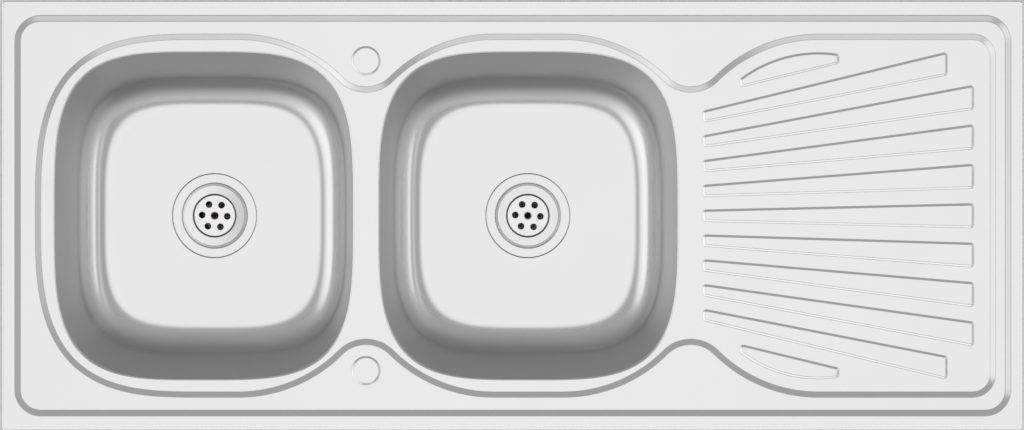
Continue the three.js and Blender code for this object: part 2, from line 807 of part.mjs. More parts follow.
function clipBracket() {
  const half = clipFlange / 2;
  const strip = [
    [half, clipTopZ],
    [-half, clipTopZ],
    [-half, shelfZ],
    [-half - clipShelfReach, shelfZ],
    [-half - clipShelfReach, shelfZ - clipPlate],
    [-half + clipPlate, shelfZ - clipPlate],
    [-half + clipPlate, clipTopZ - clipPlate],
    [half, clipTopZ - clipPlate],
  ];
  const earFoot = pivot[1] - clawEyeRadius;
  const ear = [
    [half, clipTopZ],
    [-half, clipTopZ],
    [-half, shelfZ],
    [-half - clipShelfReach, shelfZ],
    [-half - clipShelfReach, shelfZ - clipPlate],
    [pivot[0] - clawEyeRadius, earFoot + clawEyeRadius / 2],
    [pivot[0] - clawEyeRadius / 2, earFoot],
    [pivot[0] + clawEyeRadius / 2, earFoot],
    [pivot[0] + clawEyeRadius, earFoot + clawEyeRadius / 2],
  ];
  const hole = circle(pivot, pinRadius + runningGap, smallSteps);
  const ears = [-1, 1].map((side) =>
    folded(ear, clipPlate, [hole]).translate(0, (side * (clipLength - clipPlate)) / 2, 0),
  );
  return joined(folded(strip, clipLength), ...ears);
}

function clipPin() {
  const neck = clipLength / 2 + runningGap;
  const end = neck + pinHeadHeight;
  const pinHeadRadius = pinRadius + pinHeadLip;
  const pin = turned(
    [
      [0, -end],
      [pinHeadRadius, -end],
      [pinHeadRadius, -neck],
      [pinRadius, -neck],
      [pinRadius, neck],
      [pinHeadRadius, neck],
      [pinHeadRadius, end],
      [0, end],
    ],
    smallSteps,
  );
  return pin.rotateX(Math.PI / 2);
}

// Side view of the claw about its pin, with the jack screw upright.
function clipClaw() {
  const strip = clawStrip;
  const half = strip / 2;
  const footZ = -clawArm;
  const profile = [
    [half, -clawEyeRadius + clawWeb],
    [half, footZ + strip],
    [clawFoot - half, footZ + strip],
    [clawFoot, footZ + strip + clawTooth],
    [clawFoot + half, footZ + strip],
    [clawFoot + half, footZ],
    [-half, footZ],
    [-half, -jackTabDrop - strip],
    [-jackReach - jackHeadRadius, -jackTabDrop - strip],
    [-jackReach - jackHeadRadius, -jackTabDrop],
    [-Math.sqrt(clawEyeRadius ** 2 - jackTabDrop ** 2), -jackTabDrop],
    ...arc([0, 0], clawEyeRadius, radians(eyeFrom), radians(eyeTo), eyeSteps),
  ].reverse();
  const eye = circle([0, 0], pinRadius + runningGap, smallSteps);
  const blank = folded(profile, clawWidth, [eye]);
  const drill = drillAt(jackRadius + runningGap, drillReach * strip, holeSteps);
  const notches = Array.from({ length: clawNotches }, (_, i) => {
    const notch = drillAt(clawNotchDepth, drillReach * strip, notchSides).rotateY(Math.PI / 2);
    const across = (i - (clawNotches - 1) / 2) * clawNotchSpacing;
    return notch.translate(clawFoot, across, footZ + strip + clawTooth);
  });
  return cut(blank, drill.translate(-jackReach, 0, -jackTabDrop), ...notches);
}

// Height of the round-ended jack screw's tip over the pin when it meets the shelf, along a screw
// that is tilted from upright.
function jackTip(tilt) {
  const rise = shelfZ - clipPlate - pivot[1] - jackRadius;
  return rise / Math.cos(tilt) + jackRadius - jackReach * Math.tan(tilt);
}

function jackScrew() {
  const tip = jackTip(radians(clawFolded)) - jackTipGap;
  const underhead = tip - jackLength;
  return turned(
    [
      [0, underhead - jackHeadHeight],
      [jackHeadRadius - jackHeadChamfer, underhead - jackHeadHeight],
      [jackHeadRadius, underhead - jackHeadHeight + jackHeadChamfer],
      [jackHeadRadius, underhead],
      [jackRadius, underhead],
      ...arc([0, tip - jackRadius], jackRadius, 0, Math.PI / 2, cornerSteps),
    ],
    smallSteps,
  ).translate(-jackReach, 0, 0);
}

// ---------------------------------------------------------------- assembly

const finishes = {
  steel: { color: 0xd6d8d9, metalness: 1, roughness: 0.28 },
  bowlSteel: { color: 0xcdd0d2, metalness: 1, roughness: 0.32 },
  polishedSteel: { color: 0xdfe1e2, metalness: 1, roughness: 0.15 },
  zincSteel: { color: 0xaeb3b5, metalness: 1, roughness: 0.4 },
  brass: { color: 0xb08d4a, metalness: 1, roughness: 0.35 },
  rubber: { color: 0x2a2b2c, metalness: 0, roughness: 0.85 },
  foam: { color: 0x8b8f92, metalness: 0, roughness: 0.95 },
  plastic: { color: 0x1e1f20, metalness: 0, roughness: 0.5 },
  bitumen: { color: 0x3a3b3d, metalness: 0, roughness: 0.9 },
};

function piece(name, geometry, finish) {
  const mesh = new THREE.Mesh(geometry, new THREE.MeshStandardMaterial(finishes[finish]));
  mesh.name = name;
  return mesh;
}

const sink = new THREE.Group();
sink.add(piece("deck_panel", deckPanel(), "steel"));
sink.add(piece("rim_seal", rimSeal(), "foam"));

for (const [side, x] of [["left", leftBowlX], ["right", rightBowlX]]) {
  const basin = new THREE.Group();
  basin.position.x = x;
  basin.add(piece(`${side}_bowl`, bowl(), "bowlSteel"));
  basin.add(piece(`${side}_sound_pad`, soundPad(), "bitumen"));
  const waste = new THREE.Group();
  waste.position.z = bowlFloorZ;
  waste.add(piece(`${side}_flange_seal`, flangeSeal(), "rubber"));
  waste.add(piece(`${side}_strainer`, strainer(), "polishedSteel"));
  waste.add(piece(`${side}_waste_screw`, wasteScrew(), "brass"));
  waste.add(piece(`${side}_brass_insert`, brassInsert(), "brass"));
  waste.add(piece(`${side}_body_gasket`, bodyGasket(), "rubber"));
  waste.add(piece(`${side}_waste_cross`, wasteCross(), "plastic"));
  waste.add(piece(`${side}_waste_body`, wasteBody(), "plastic"));
  basin.add(waste);
  sink.add(basin);
}

const fromMiddle = (i) => (i - (clipsPerSide - 1) / 2) * clipSpacing;
const sidePlaces = Array.from({ length: clipsPerSide }, (_, i) => fromMiddle(i));
const clipPlaces = [
  ...sidePlaces.map((x) => ({ x, y: -clipY, turn: -90 })),
  { x: clipX, y: 0, turn: 0 },
  ...sidePlaces.toReversed().map((x) => ({ x, y: clipY, turn: 90 })),
  { x: -clipX, y: 0, turn: 180 },
];

clipPlaces.forEach(({ x, y, turn }, index) => {
  const name = `clip_${index + 1}`;
  const clip = new THREE.Group();
  clip.position.set(x, y, platformUnderZ);
  clip.rotation.z = radians(turn);
  clip.add(piece(`${name}_bracket`, clipBracket(), "zincSteel"));
  const hinge = new THREE.Group();
  hinge.position.set(pivot[0], 0, pivot[1]);
  hinge.rotation.y = radians(clawFolded);
  hinge.add(piece(`${name}_pin`, clipPin(), "zincSteel"));
  hinge.add(piece(`${name}_claw`, clipClaw(), "zincSteel"));
  hinge.add(piece(`${name}_screw`, jackScrew(), "zincSteel"));
  clip.add(hinge);
  sink.add(clip);
});

export default sink;
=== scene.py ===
# %% [markdown]
# # A stainless steel kitchen sink with two bowls
#
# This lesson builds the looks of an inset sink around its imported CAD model. The CAD model fixes
# where everything is. Each step first says what a piece or a finish is on the real sink, how it
# could be made in Blender, and why this way was chosen.

# %% Load the frame
import math

import bmesh
import bpy
from mathutils import Matrix, Vector


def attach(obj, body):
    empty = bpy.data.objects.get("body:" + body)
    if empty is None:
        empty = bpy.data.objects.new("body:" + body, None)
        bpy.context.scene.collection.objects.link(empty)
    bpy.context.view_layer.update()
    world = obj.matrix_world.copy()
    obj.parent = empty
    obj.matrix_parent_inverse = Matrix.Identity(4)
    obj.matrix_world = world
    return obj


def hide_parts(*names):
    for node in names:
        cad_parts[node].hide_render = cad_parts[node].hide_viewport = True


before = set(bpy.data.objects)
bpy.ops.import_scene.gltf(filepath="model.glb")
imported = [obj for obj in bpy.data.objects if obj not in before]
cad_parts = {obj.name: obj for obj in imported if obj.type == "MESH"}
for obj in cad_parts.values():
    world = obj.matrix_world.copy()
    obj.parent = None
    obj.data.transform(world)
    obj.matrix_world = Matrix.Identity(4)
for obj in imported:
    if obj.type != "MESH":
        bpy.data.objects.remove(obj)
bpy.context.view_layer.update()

MM = 0.001

# %% [markdown]
# ## Small helpers for nodes and colours
#
# Shader trees and geometry trees are built in the same way, so one function adds a node with its
# settings and links. A setting is a property of the node, a value for one of its sockets, or what
# is linked to the socket: an output, a node whose first output is meant, or a list of nodes.
# Colours are written as the hex values that a colour picker shows, and one function turns them into
# the linear values that Blender works in.

# %% Helpers for nodes and colours
def set_up(tree, node, settings):
    """Sets a node's properties and sockets, and links what is given as a node or an output."""
    for name, value in settings.items():
        sources = value if isinstance(value, list) else [value]
        if isinstance(sources[0], (bpy.types.Node, bpy.types.NodeSocket)):
            for source in sources:
                if isinstance(source, bpy.types.Node):
                    source = next(output for output in source.outputs if output.enabled)
                tree.links.new(source, node.inputs[name])
        elif isinstance(name, str) and hasattr(node, name):
            setattr(node, name, value)
        else:
            node.inputs[name].default_value = value


def add_node(tree, kind, settings=None):
    """Adds a node with its settings and links."""
    node = tree.nodes.new(kind)
    set_up(tree, node, settings or {})
    return node


def linear(hex_colour):
    """Linear red, green, blue and alpha of an sRGB hex colour."""
    parts = [int(hex_colour[i:i + 2], 16) / 255 for i in (1, 3, 5)]
    return [c / 12.92 if c <= 0.04045 else ((c + 0.055) / 1.055) ** 2.4 for c in parts] + [1.0]


def start_material(name):
    """A new material whose tree holds only a shader and an output."""
    material = bpy.data.materials.new(name)
    material.use_nodes = True
    tree = material.node_tree
    tree.nodes.clear()
    shader = add_node(tree, "ShaderNodeBsdfPrincipled")
    add_node(tree, "ShaderNodeOutputMaterial", {"Surface": shader})
    place = add_node(tree, "ShaderNodeTexCoord").outputs["Object"]
    return material, tree, shader, place


print("white is", linear("#ffffff")[:3])

# %% [markdown]
# ## Satin stainless steel, pressed and drawn
#
# The sheet leaves the mill with a satin finish: a belt has ground fine parallel lines into it, too
# fine to see one by one, that turn a mirror into a soft sheen. Pressing keeps that finish on the
# flat areas. Deep drawing stretches the bowl's walls, which makes them rougher. A metal's colour is
# its reflection, so the base colour is a neutral grey and the rest is roughness. A second, darker
# grey is painted shade: it is mixed in by how steep the surface is, which the surface normal in the
# object's own space tells, and stands in for the dim reflections in steep walls and slopes. The
# front and back walls lean more than the ends and are taken as stretched more, so their roughness
# rises sooner and they take the painted shade sooner. Colour and roughness have masks of their own,
# because one mask for both drew hard creases in the fillets. The ground lines are noise that is
# stretched along the belt's direction. Real ones are 0.05 mm apart, which a render at this size
# can't show, so they are drawn 0.5 to 0.8 mm apart and kept faint.

# %% Stainless steel
def stainless(name, flat_colour, painted_shade_colour, smooth, rough, line_mm=0.6, steep=(0.35, 0.78),
              front_back_rough_and_shade=0.0, darkest=None):
    """Satin stainless sheet. Steep, drawn surfaces are rougher and take the second colour, a
    painted shade.

    steep is between which upward parts of the normal that happens, and the front-and-back factor is
    how much sooner it happens on surfaces that face the front or the back. The painted shade may
    reach its darkest later than the roughness its highest."""
    material, tree, shader, place = start_material(name)
    line_length_mm, drawn_roughness = 60, 0.2
    stretched = add_node(tree, "ShaderNodeMapping", {
        "Scale": (1 / (line_length_mm * MM), 1 / (line_mm * MM), 1 / (line_mm * MM)),
        "Vector": place,
    })
    lines = add_node(tree, "ShaderNodeTexNoise", {
        "Scale": 1.0, "Detail": 3.0, "Roughness": 0.6, "Vector": stretched,
    })
    clouds = add_node(tree, "ShaderNodeTexNoise", {"Scale": 9.0, "Detail": 2.0, "Vector": place})
    facing = add_node(tree, "ShaderNodeTexCoord").outputs["Normal"]
    upright = add_node(tree, "ShaderNodeSeparateXYZ", {"Vector": facing})
    level = add_node(tree, "ShaderNodeMath", {"operation": "ABSOLUTE", 0: upright.outputs["Z"]})
    to_front = add_node(tree, "ShaderNodeMath", {"operation": "ABSOLUTE", 0: upright.outputs["Y"]})
    level_for_roughness_and_shade = add_node(tree, "ShaderNodeMath", {
        "operation": "MULTIPLY_ADD", 0: to_front, 1: -front_back_rough_and_shade, 2: level,
    })
    flatness = add_node(tree, "ShaderNodeMapRange", {
        "interpolation_type": "SMOOTHSTEP", "From Min": steep[0], "From Max": steep[1],
        "Value": level_for_roughness_and_shade,
    })
    both = add_node(tree, "ShaderNodeMath", {"operation": "ADD", 0: lines, 1: clouds})
    ground = add_node(tree, "ShaderNodeMapRange", {
        "From Min": 0.7, "From Max": 1.3, "To Min": smooth, "To Max": rough, "Value": both,
    })
    drawn = add_node(tree, "ShaderNodeMapRange", {
        "To Min": drawn_roughness, "To Max": 0.0, "Value": flatness,
    })
    roughness = add_node(tree, "ShaderNodeMath", {"operation": "ADD", 0: ground, 1: drawn})
    # Painted shade: steep surfaces take the darker grey in place of the dim reflections they catch.
    painted_shade_mix = add_node(tree, "ShaderNodeMapRange", {
        "interpolation_type": "SMOOTHSTEP", "From Min": steep[0] if darkest is None else darkest,
        "From Max": steep[1], "Value": level_for_roughness_and_shade,
    })
    steel_grey_with_painted_shade = add_node(tree, "ShaderNodeMix", {
        "data_type": "RGBA", "Factor": painted_shade_mix, 6: linear(painted_shade_colour), 7: linear(flat_colour),
    })
    relief = add_node(tree, "ShaderNodeBump", {
        "Strength": 0.006, "Distance": 0.05 * MM, "Height": lines,
    })
    set_up(tree, shader, {
        "Metallic": 1.0, "Roughness": roughness, "Base Color": steel_grey_with_painted_shade.outputs[2], "Normal": relief,
    })
    return material


# Each steel's second grey is painted shade on its steep surfaces: the deck's slopes, the bowls'
# walls and fillets, and the strainer's steep rings and cup.
deck_steel = stainless("stainless_sheet_pressed_satin", "#ededed", "#dedede", 0.19, 0.21)
bowl_steel = stainless("stainless_sheet_deep_drawn", "#ededed", "#c9c9c9", 0.20, 0.23,
                       line_mm=0.8, front_back_rough_and_shade=1.2, darkest=-0.6)
strainer_steel = stainless("stainless_stamping_polished", "#ededed", "#868686", 0.15, 0.18,
                           line_mm=0.5, steep=(0.74, 0.95))
print("steels:", deck_steel.name, bowl_steel.name, strainer_steel.name)

# %% [markdown]
# ## The other finishes
#
# Zinc plating on the clips is a thin dull silver film with a faint blue cast and cloudy patches.
# Turned brass is yellow where it is hidden in plastic. The screw in the strainer's cup is painted
# almost black, a painted shade for the deep cup it sits in. Rubber and foam are matt; foam has open
# cut cells. The pad is bitumen felt,
# black and fibrous. The waste body is black moulded polypropylene with a fine spark-eroded grain,
# matt and low in gloss, which is why the strainer's holes look black from above.

# %% Zinc, brass, rubber, foam, felt and plastic
def plain_finish(name, colours, metallic, roughness, grain_mm, bump, pattern="ShaderNodeTexNoise"):
    """A finish whose colour and relief vary with one pattern of a real grain size."""
    material, tree, shader, place = start_material(name)
    grain = add_node(tree, pattern, {"Scale": 1 / (grain_mm * MM), "Vector": place})
    clouds = add_node(tree, "ShaderNodeTexNoise", {"Scale": 60.0, "Detail": 4.0, "Vector": place})
    shades = add_node(tree, "ShaderNodeValToRGB", {"Fac": clouds})
    for stop, position, colour in zip(shades.color_ramp.elements, (0.35, 0.65), colours):
        stop.position, stop.color = position, linear(colour)
    relief = add_node(tree, "ShaderNodeBump", {
        "Strength": bump, "Distance": 0.1 * MM, "Height": grain,
    })
    set_up(tree, shader, {
        "Metallic": metallic, "Roughness": roughness, "Base Color": shades, "Normal": relief,
    })
    return material


zinc = plain_finish("steel_zinc_plated", ("#a9b0b5", "#c3c8cb"), 1.0, 0.38, 0.8, 0.15)
brass = plain_finish("brass_turned", ("#a57f3e", "#bd9650"), 1.0, 0.34, 0.4, 0.2)
# The waste screw's brass is painted almost black, a painted shade for the deep cup it sits in.
brass_painted_shade = plain_finish("brass_blackened_by_water", ("#1d150c", "#33261a"),
                               1.0, 0.5, 0.4, 0.3)
rubber = plain_finish("rubber_epdm_moulded", ("#1d1e1f", "#28292a"), 0.0, 0.72, 0.5, 0.25)
foam = plain_finish("foam_pe_cut", ("#54585b", "#63676a"), 0.0, 0.95, 1.1, 0.6,
                    "ShaderNodeTexVoronoi")
felt = plain_finish("felt_bitumen_rolled", ("#232426", "#303133"), 0.0, 0.9, 1.6, 0.8)
plastic = plain_finish("polypropylene_black_moulded", ("#0b0b0b", "#101111"), 0.0, 0.7, 0.35, 0.08)
plastic.node_tree.nodes["Principled BSDF"].inputs["Specular IOR Level"].default_value = 0.3
print("finishes:", [m.name for m in (zinc, brass, brass_painted_shade, rubber, foam, felt, plastic)])

# %% [markdown]
# ## Making meshes and running geometry trees
#
# Every mesh here starts as points in millimetres. A geometry tree is given a carrier object that
# holds its outline or profile, its inputs are set by socket identifier, and the evaluated result is
# copied out as a plain mesh. The modifier is gone before the piece is handed to the frame.

# %% Helpers for meshes
def in_scene(name, data):
    """A new object in the scene that holds a mesh or a camera."""
    made = bpy.data.objects.new(name, data)
    bpy.context.scene.collection.objects.link(made)
    return made


def carrier(name, points, edges=(), faces=()):
    """An object made of points in millimetres."""
    mesh = bpy.data.meshes.new(name)
    mesh.from_pydata([[c * MM for c in point] for point in points], list(edges), list(faces))
    return in_scene(name, mesh)


def chain(name, points, closed=False):
    """A carrier that holds one run of points joined in order."""
    count = len(points)
    edges = [(i, (i + 1) % count) for i in range(count if closed else count - 1)]
    return carrier(name, points, edges)


def loops(name, outlines, z):
    """A carrier that holds closed outlines at one height."""
    points, edges = [], []
    for outline in outlines:
        first, count = len(points), len(outline)
        points += [(x, y, z) for x, y in outline]
        edges += [(first + i, first + (i + 1) % count) for i in range(count)]
    return carrier(name, points, edges)


def evaluated_mesh(made):
    """A plain mesh of an object as its modifiers leave it."""
    evaluated = made.evaluated_get(bpy.context.evaluated_depsgraph_get())
    return bpy.data.meshes.new_from_object(evaluated)


def bake(made, tree=None, inputs=None, drop=()):
    """Turns an object and its modifiers, with a geometry tree last, into a plain mesh."""
    if tree:
        modifier = made.modifiers.new("shape", "NODES")
        modifier.node_group = tree
        items = tree.interface.items_tree
        sockets = {item.name: item.identifier for item in items if item.in_out == "INPUT"}
        for name, value in (inputs or {}).items():
            modifier[sockets[name]] = value
    mesh = evaluated_mesh(made)
    for old in (made, *drop):
        bpy.data.objects.remove(old)
    return mesh


def weld(name, meshes, distance=0.004, up=False, move=None):
    """One object from several meshes, with doubles merged and faces turned outwards.

    up=True turns an open sheet so that most of it faces up."""
    work = bmesh.new()
    for mesh in meshes:
        work.from_mesh(mesh)
    bmesh.ops.remove_doubles(work, verts=work.verts, dist=distance * MM)
    bmesh.ops.dissolve_degenerate(work, edges=work.edges, dist=0.0005 * MM)
    bmesh.ops.recalc_face_normals(work, faces=work.faces)
    if up and sum(f.normal.z * f.calc_area() for f in work.faces) < 0:
        bmesh.ops.reverse_faces(work, faces=work.faces)
    for face in work.faces:
        face.smooth = True
    mesh = bpy.data.meshes.new(name)
    work.to_mesh(mesh)
    work.free()
    if move is not None:
        mesh.transform(move)
    return in_scene(name, mesh)


def thicken(made, thickness, offset, even=False):
    """Gives a sheet its thickness in millimetres, below it at offset -1 and on both sides at 0."""
    solid = made.modifiers.new("thickness", "SOLIDIFY")
    solid.thickness = thickness * MM
    solid.offset = offset
    solid.use_even_offset = even


def loose_edges(mesh):
    """How many edges don't join exactly two faces. A closed sheet has none."""
    uses = {}
    for polygon in mesh.polygons:
        for key in polygon.edge_keys:
            uses[key] = uses.get(key, 0) + 1
    return sum(count != 2 for count in uses.values())


def finish_piece(made, material, body, replaced, sharp_degrees=35):
    """Gives a piece its finish, sharp edges and body, and hides the CAD nodes it stands for."""
    mesh = made.data
    mesh.materials.clear()
    mesh.materials.append(material)
    mesh.shade_smooth()
    mesh.set_sharp_from_angle(angle=math.radians(sharp_degrees))
    weights = made.modifiers.new("large faces decide", "WEIGHTED_NORMAL")
    weights.keep_sharp = True
    made.data = evaluated_mesh(made)
    made.modifiers.clear()
    bpy.data.meshes.remove(mesh)
    mesh = made.data
    mesh.name = made.name
    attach(made, body)
    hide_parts(*replaced)
    print(made.name, "has", len(mesh.polygons), "faces on", body)


def shift(x=0, y=0, z=0):
    """A move in millimetres."""
    return Matrix.Translation(Vector((x, y, z)) * MM)


print("a move of 10 mm is", round(shift(x=10).translation.x, 4), "m")

# %% [markdown]
# ## The sink's own sizes
#
# These are the sizes of the CAD model in millimetres. The plane z = 0 is the top of the worktop.
# Pressed forms go down in two steps from the rim to the bowls: first the outer step, then the
# contour with its two waists.

# %% Sizes in millimetres
deck_half = (600.0, 253.0)
sheet = 0.8
rim_z, platform_z, basin_z, weld_z = 5.5, 2.5, -0.5, -6.0
floor_z = -150.0
bowl_xs = {"left": -363.5, "right": 18.3}
mouth_half = (175.0, 192.0)
mouth_exponent = 3.7
waist_xs = (-172.6, 209.2)
step_half, step_corner, step_width = (586.7, 236.8), 32, 10
contour_half_y, contour_width, contour_corner, contour_exponent = 214.5, 8.4, 28.0, 3.1
contour_inset_left, contour_inset_right = 37.5, 31.6
tap_mark_y, tap_mark_r, lip_r = 182, 16.5, 2
print("deck:", 2 * deck_half[0], "by", 2 * deck_half[1], "mm, bowls", -floor_z, "mm deep")

# %% [markdown]
# ## Outlines
#
# The rim and the step are rounded rectangles, the bowl mouths are superellipses, and the contour is
# a chain of arcs that touch each other: a straight run, a shoulder that turns in, a waist that
# turns back. Points on arcs are cheap, so they are dense enough to look round in a close view.

# %% Functions for outlines
def arc(centre, radius, start, end, steps):
    """Points along an arc between two angles."""
    turns = [start + (end - start) * i / steps for i in range(steps + 1)]
    return [(centre[0] + radius * math.cos(t), centre[1] + radius * math.sin(t)) for t in turns]


def rounded_rectangle(half_x, half_y, radius, steps=12):
    """A rectangle about the origin with round corners."""
    points = []
    for quarter, (sx, sy) in enumerate(((1, 1), (-1, 1), (-1, -1), (1, -1))):
        centre = (sx * (half_x - radius), sy * (half_y - radius))
        points += arc(centre, radius, quarter * math.pi / 2, (quarter + 1) * math.pi / 2, steps)
    return points


def superellipse(centre, half_x, half_y, exponent, steps, start=0.0, end=2 * math.pi):
    """A rounded outline, or part of one: exponent 2 is an ellipse, and more is squarer."""
    def bulge(value):
        return math.copysign(abs(value) ** (2 / exponent), value)

    count = steps if end - start > 6.2 else steps + 1
    turns = [start + (end - start) * i / steps for i in range(count)]
    return [(centre[0] + half_x * bulge(math.cos(t)), centre[1] + half_y * bulge(math.sin(t)))
            for t in turns]


def round_corners(corners, radius, steps=6):
    """Rounds the sharp corners of a convex outline and leaves shallow ones."""
    points = []
    for i, (x, y) in enumerate(corners):
        before, after = corners[i - 1], corners[(i + 1) % len(corners)]
        way_in = math.atan2(y - before[1], x - before[0])
        way_out = math.atan2(after[1] - y, after[0] - x)
        turn = (way_out - way_in) % (2 * math.pi)
        shallow = math.radians(25)
        if turn < shallow or turn > math.pi:
            points.append((x, y))
            continue
        back = radius * math.tan(turn / 2)
        centre = (x - back * math.cos(way_in) - radius * math.sin(way_in),
                  y - back * math.sin(way_in) + radius * math.cos(way_in))
        points += arc(centre, radius, way_in - math.pi / 2, way_in + turn - math.pi / 2, steps)
    return points


def moved_in(outline, inset):
    """An outline moved inwards along the bisector at each point, as the pressing tree moves it."""
    points = []
    for i, (x, y) in enumerate(outline):
        before, after = outline[i - 1], outline[(i + 1) % len(outline)]
        a = Vector((x - before[0], y - before[1])).normalized()
        b = Vector((after[0] - x, after[1] - y)).normalized()
        along = (a + b).normalized()
        points.append((x - along.y * inset, y + along.x * inset))
    return points


print("points on a rounded rectangle:", len(rounded_rectangle(10, 5, 2)))

# %% [markdown]
# The contour's shoulder arc has to touch both the straight run above it and the waist's arc below
# it. Its radius follows from how far the waist dips and how far the shoulder reaches.

# %% The contour, the ribs and the leaves
waist_dip, waist_radius, shoulder_reach = 62.0, 38.0, 150.0
# The waist's centre is this far from the point where the shoulder leaves the straight run, squared.
reach_squared = shoulder_reach ** 2 + (waist_radius - waist_dip) ** 2
shoulder_radius = (reach_squared - waist_radius ** 2) / (2 * waist_dip)
shoulder_y = contour_half_y - shoulder_radius
waist_y = contour_half_y - waist_dip + waist_radius
tangent = math.atan2(waist_y - shoulder_y, shoulder_reach)


def contour_outline():
    """The contour's far half is drawn from the right and mirrored into the near half."""
    up = math.pi / 2
    right, corner = deck_half[0] - contour_inset_right, contour_corner
    upper = arc((right - corner, contour_half_y - corner), corner, 0, up, 12)
    for x in reversed(waist_xs):
        upper += arc((x + shoulder_reach, shoulder_y), shoulder_radius, up, math.pi - tangent, 24)
        upper += arc((x, waist_y), waist_radius, -tangent, tangent - math.pi, 24)[1:]
        upper += arc((x - shoulder_reach, shoulder_y), shoulder_radius, tangent, up, 24)[1:]
    end = (bowl_xs["left"], 0)
    upper += superellipse(end, deck_half[0] - contour_inset_left + end[0], contour_half_y,
                          contour_exponent, 48, up, math.pi)
    lower = [(x, -y) for x, y in reversed(upper[:-1])]
    return upper + lower


def without_doubles(outline):
    """Drops points that repeat the one before, which two touching arcs share."""
    return [p for i, p in enumerate(outline) if math.dist(p, outline[i - 1]) > 0.01]


rib_left, rib_right, outer_rib_right = 224.0, 541.6, 510.4
fan_radius, rib_count_each_side = 534.0, 4
narrow_end, wide_end, rib_corner, rib_side_gap = 13, 28, 3.6, 14
leaf_start, leaf_end, leaf_shoulder_gap, leaf_rib_gap = 58.4, 173.8, 23, 18


def rib_half_width(x):
    """Ribs widen to the right."""
    return (narrow_end + (wide_end - narrow_end) * (x - rib_left) / (rib_right - rib_left)) / 2


outer_rib_y = contour_half_y - contour_width - rib_side_gap - rib_half_width(outer_rib_right)
fan_slope = outer_rib_y / (rib_count_each_side * (outer_rib_right - rib_left + fan_radius))


def rib_outline(number):
    """Rib 0 is level and the others fan out above and below it."""
    right = outer_rib_right if abs(number) == rib_count_each_side else rib_right
    corners = [(x, number * fan_slope * (x - rib_left + fan_radius) + side * rib_half_width(x))
               for x, side in ((rib_left, -1), (right, -1), (right, 1), (rib_left, 1))]
    return round_corners(corners, rib_corner)


def leaf_outline(side):
    """A leaf fills the wedge between the outermost rib and the contour's shoulder."""
    left, right = waist_xs[1] + leaf_start, waist_xs[1] + leaf_end
    centre = (waist_xs[1] + shoulder_reach, shoulder_y)
    radius = shoulder_radius - leaf_shoulder_gap
    turn_at = [math.acos((x - centre[0]) / radius) for x in (right, left)]
    slope = rib_count_each_side * fan_slope
    edge = [(x, slope * (x - rib_left + fan_radius) + rib_half_width(x) + leaf_rib_gap)
            for x in (left, right)]
    outline = round_corners(edge + arc(centre, radius, *turn_at, 16), rib_corner)
    return outline if side > 0 else [(x, -y) for x, y in reversed(outline)]


contour = without_doubles(contour_outline())
step = without_doubles(rounded_rectangle(*step_half, step_corner))
edge = without_doubles(rounded_rectangle(*deck_half, 5, 8))
ribs = [rib_outline(n) for n in range(-rib_count_each_side, rib_count_each_side + 1)]
leaves = [leaf_outline(side) for side in (-1, 1)]
tap_marks = [superellipse((waist_xs[0], side * tap_mark_y), tap_mark_r, tap_mark_r, 2, 64)
             for side in (-1, 1)]
mouths = [superellipse((x, 0), mouth_half[0] + lip_r, mouth_half[1] + lip_r, mouth_exponent, 160)
          for x in bowl_xs.values()]
print("contour points:", len(contour), "ribs:", len(ribs), "fan slope:", round(fan_slope, 4))

# %% [markdown]
# ## A press tool as a geometry tree
#
# A press leaves the same bend all the way round each form, so the natural tree sweeps one bend
# profile along any number of outlines. For a rib, a leaf or a tap mark it also fills the top. Fill
# Curve makes the flat areas between the forms, with every form's foot as a hole. Doing this with a
# grid of heights would need millions of points to keep the bends crisp.

# %% Geometry trees: pressed form and flat sheet
def start_tree(name, inputs):
    """A geometry tree with named inputs. Returns the tree, what it is given and its output node."""
    tree = bpy.data.node_groups.new(name, "GeometryNodeTree")
    tree.is_modifier = True
    tree.interface.new_socket("Geometry", in_out="INPUT", socket_type="NodeSocketGeometry")
    for label, (kind, value) in inputs.items():
        socket = tree.interface.new_socket(label, in_out="INPUT", socket_type="NodeSocket" + kind)
        if value is not None:
            socket.default_value = value
    tree.interface.new_socket("Geometry", in_out="OUTPUT", socket_type="NodeSocketGeometry")
    return tree, add_node(tree, "NodeGroupInput").outputs, add_node(tree, "NodeGroupOutput")


def end_tree(tree, given, out, geometry):
    """Realises instances, sets the material and links the tree's output."""
    real = add_node(tree, "GeometryNodeRealizeInstances", {"Geometry": geometry})
    smooth = add_node(tree, "GeometryNodeSetShadeSmooth", {"Geometry": real})
    painted = add_node(tree, "GeometryNodeSetMaterial", {
        "Geometry": smooth, "Material": given["Material"],
    })
    set_up(tree, out, {"Geometry": painted})
    return tree


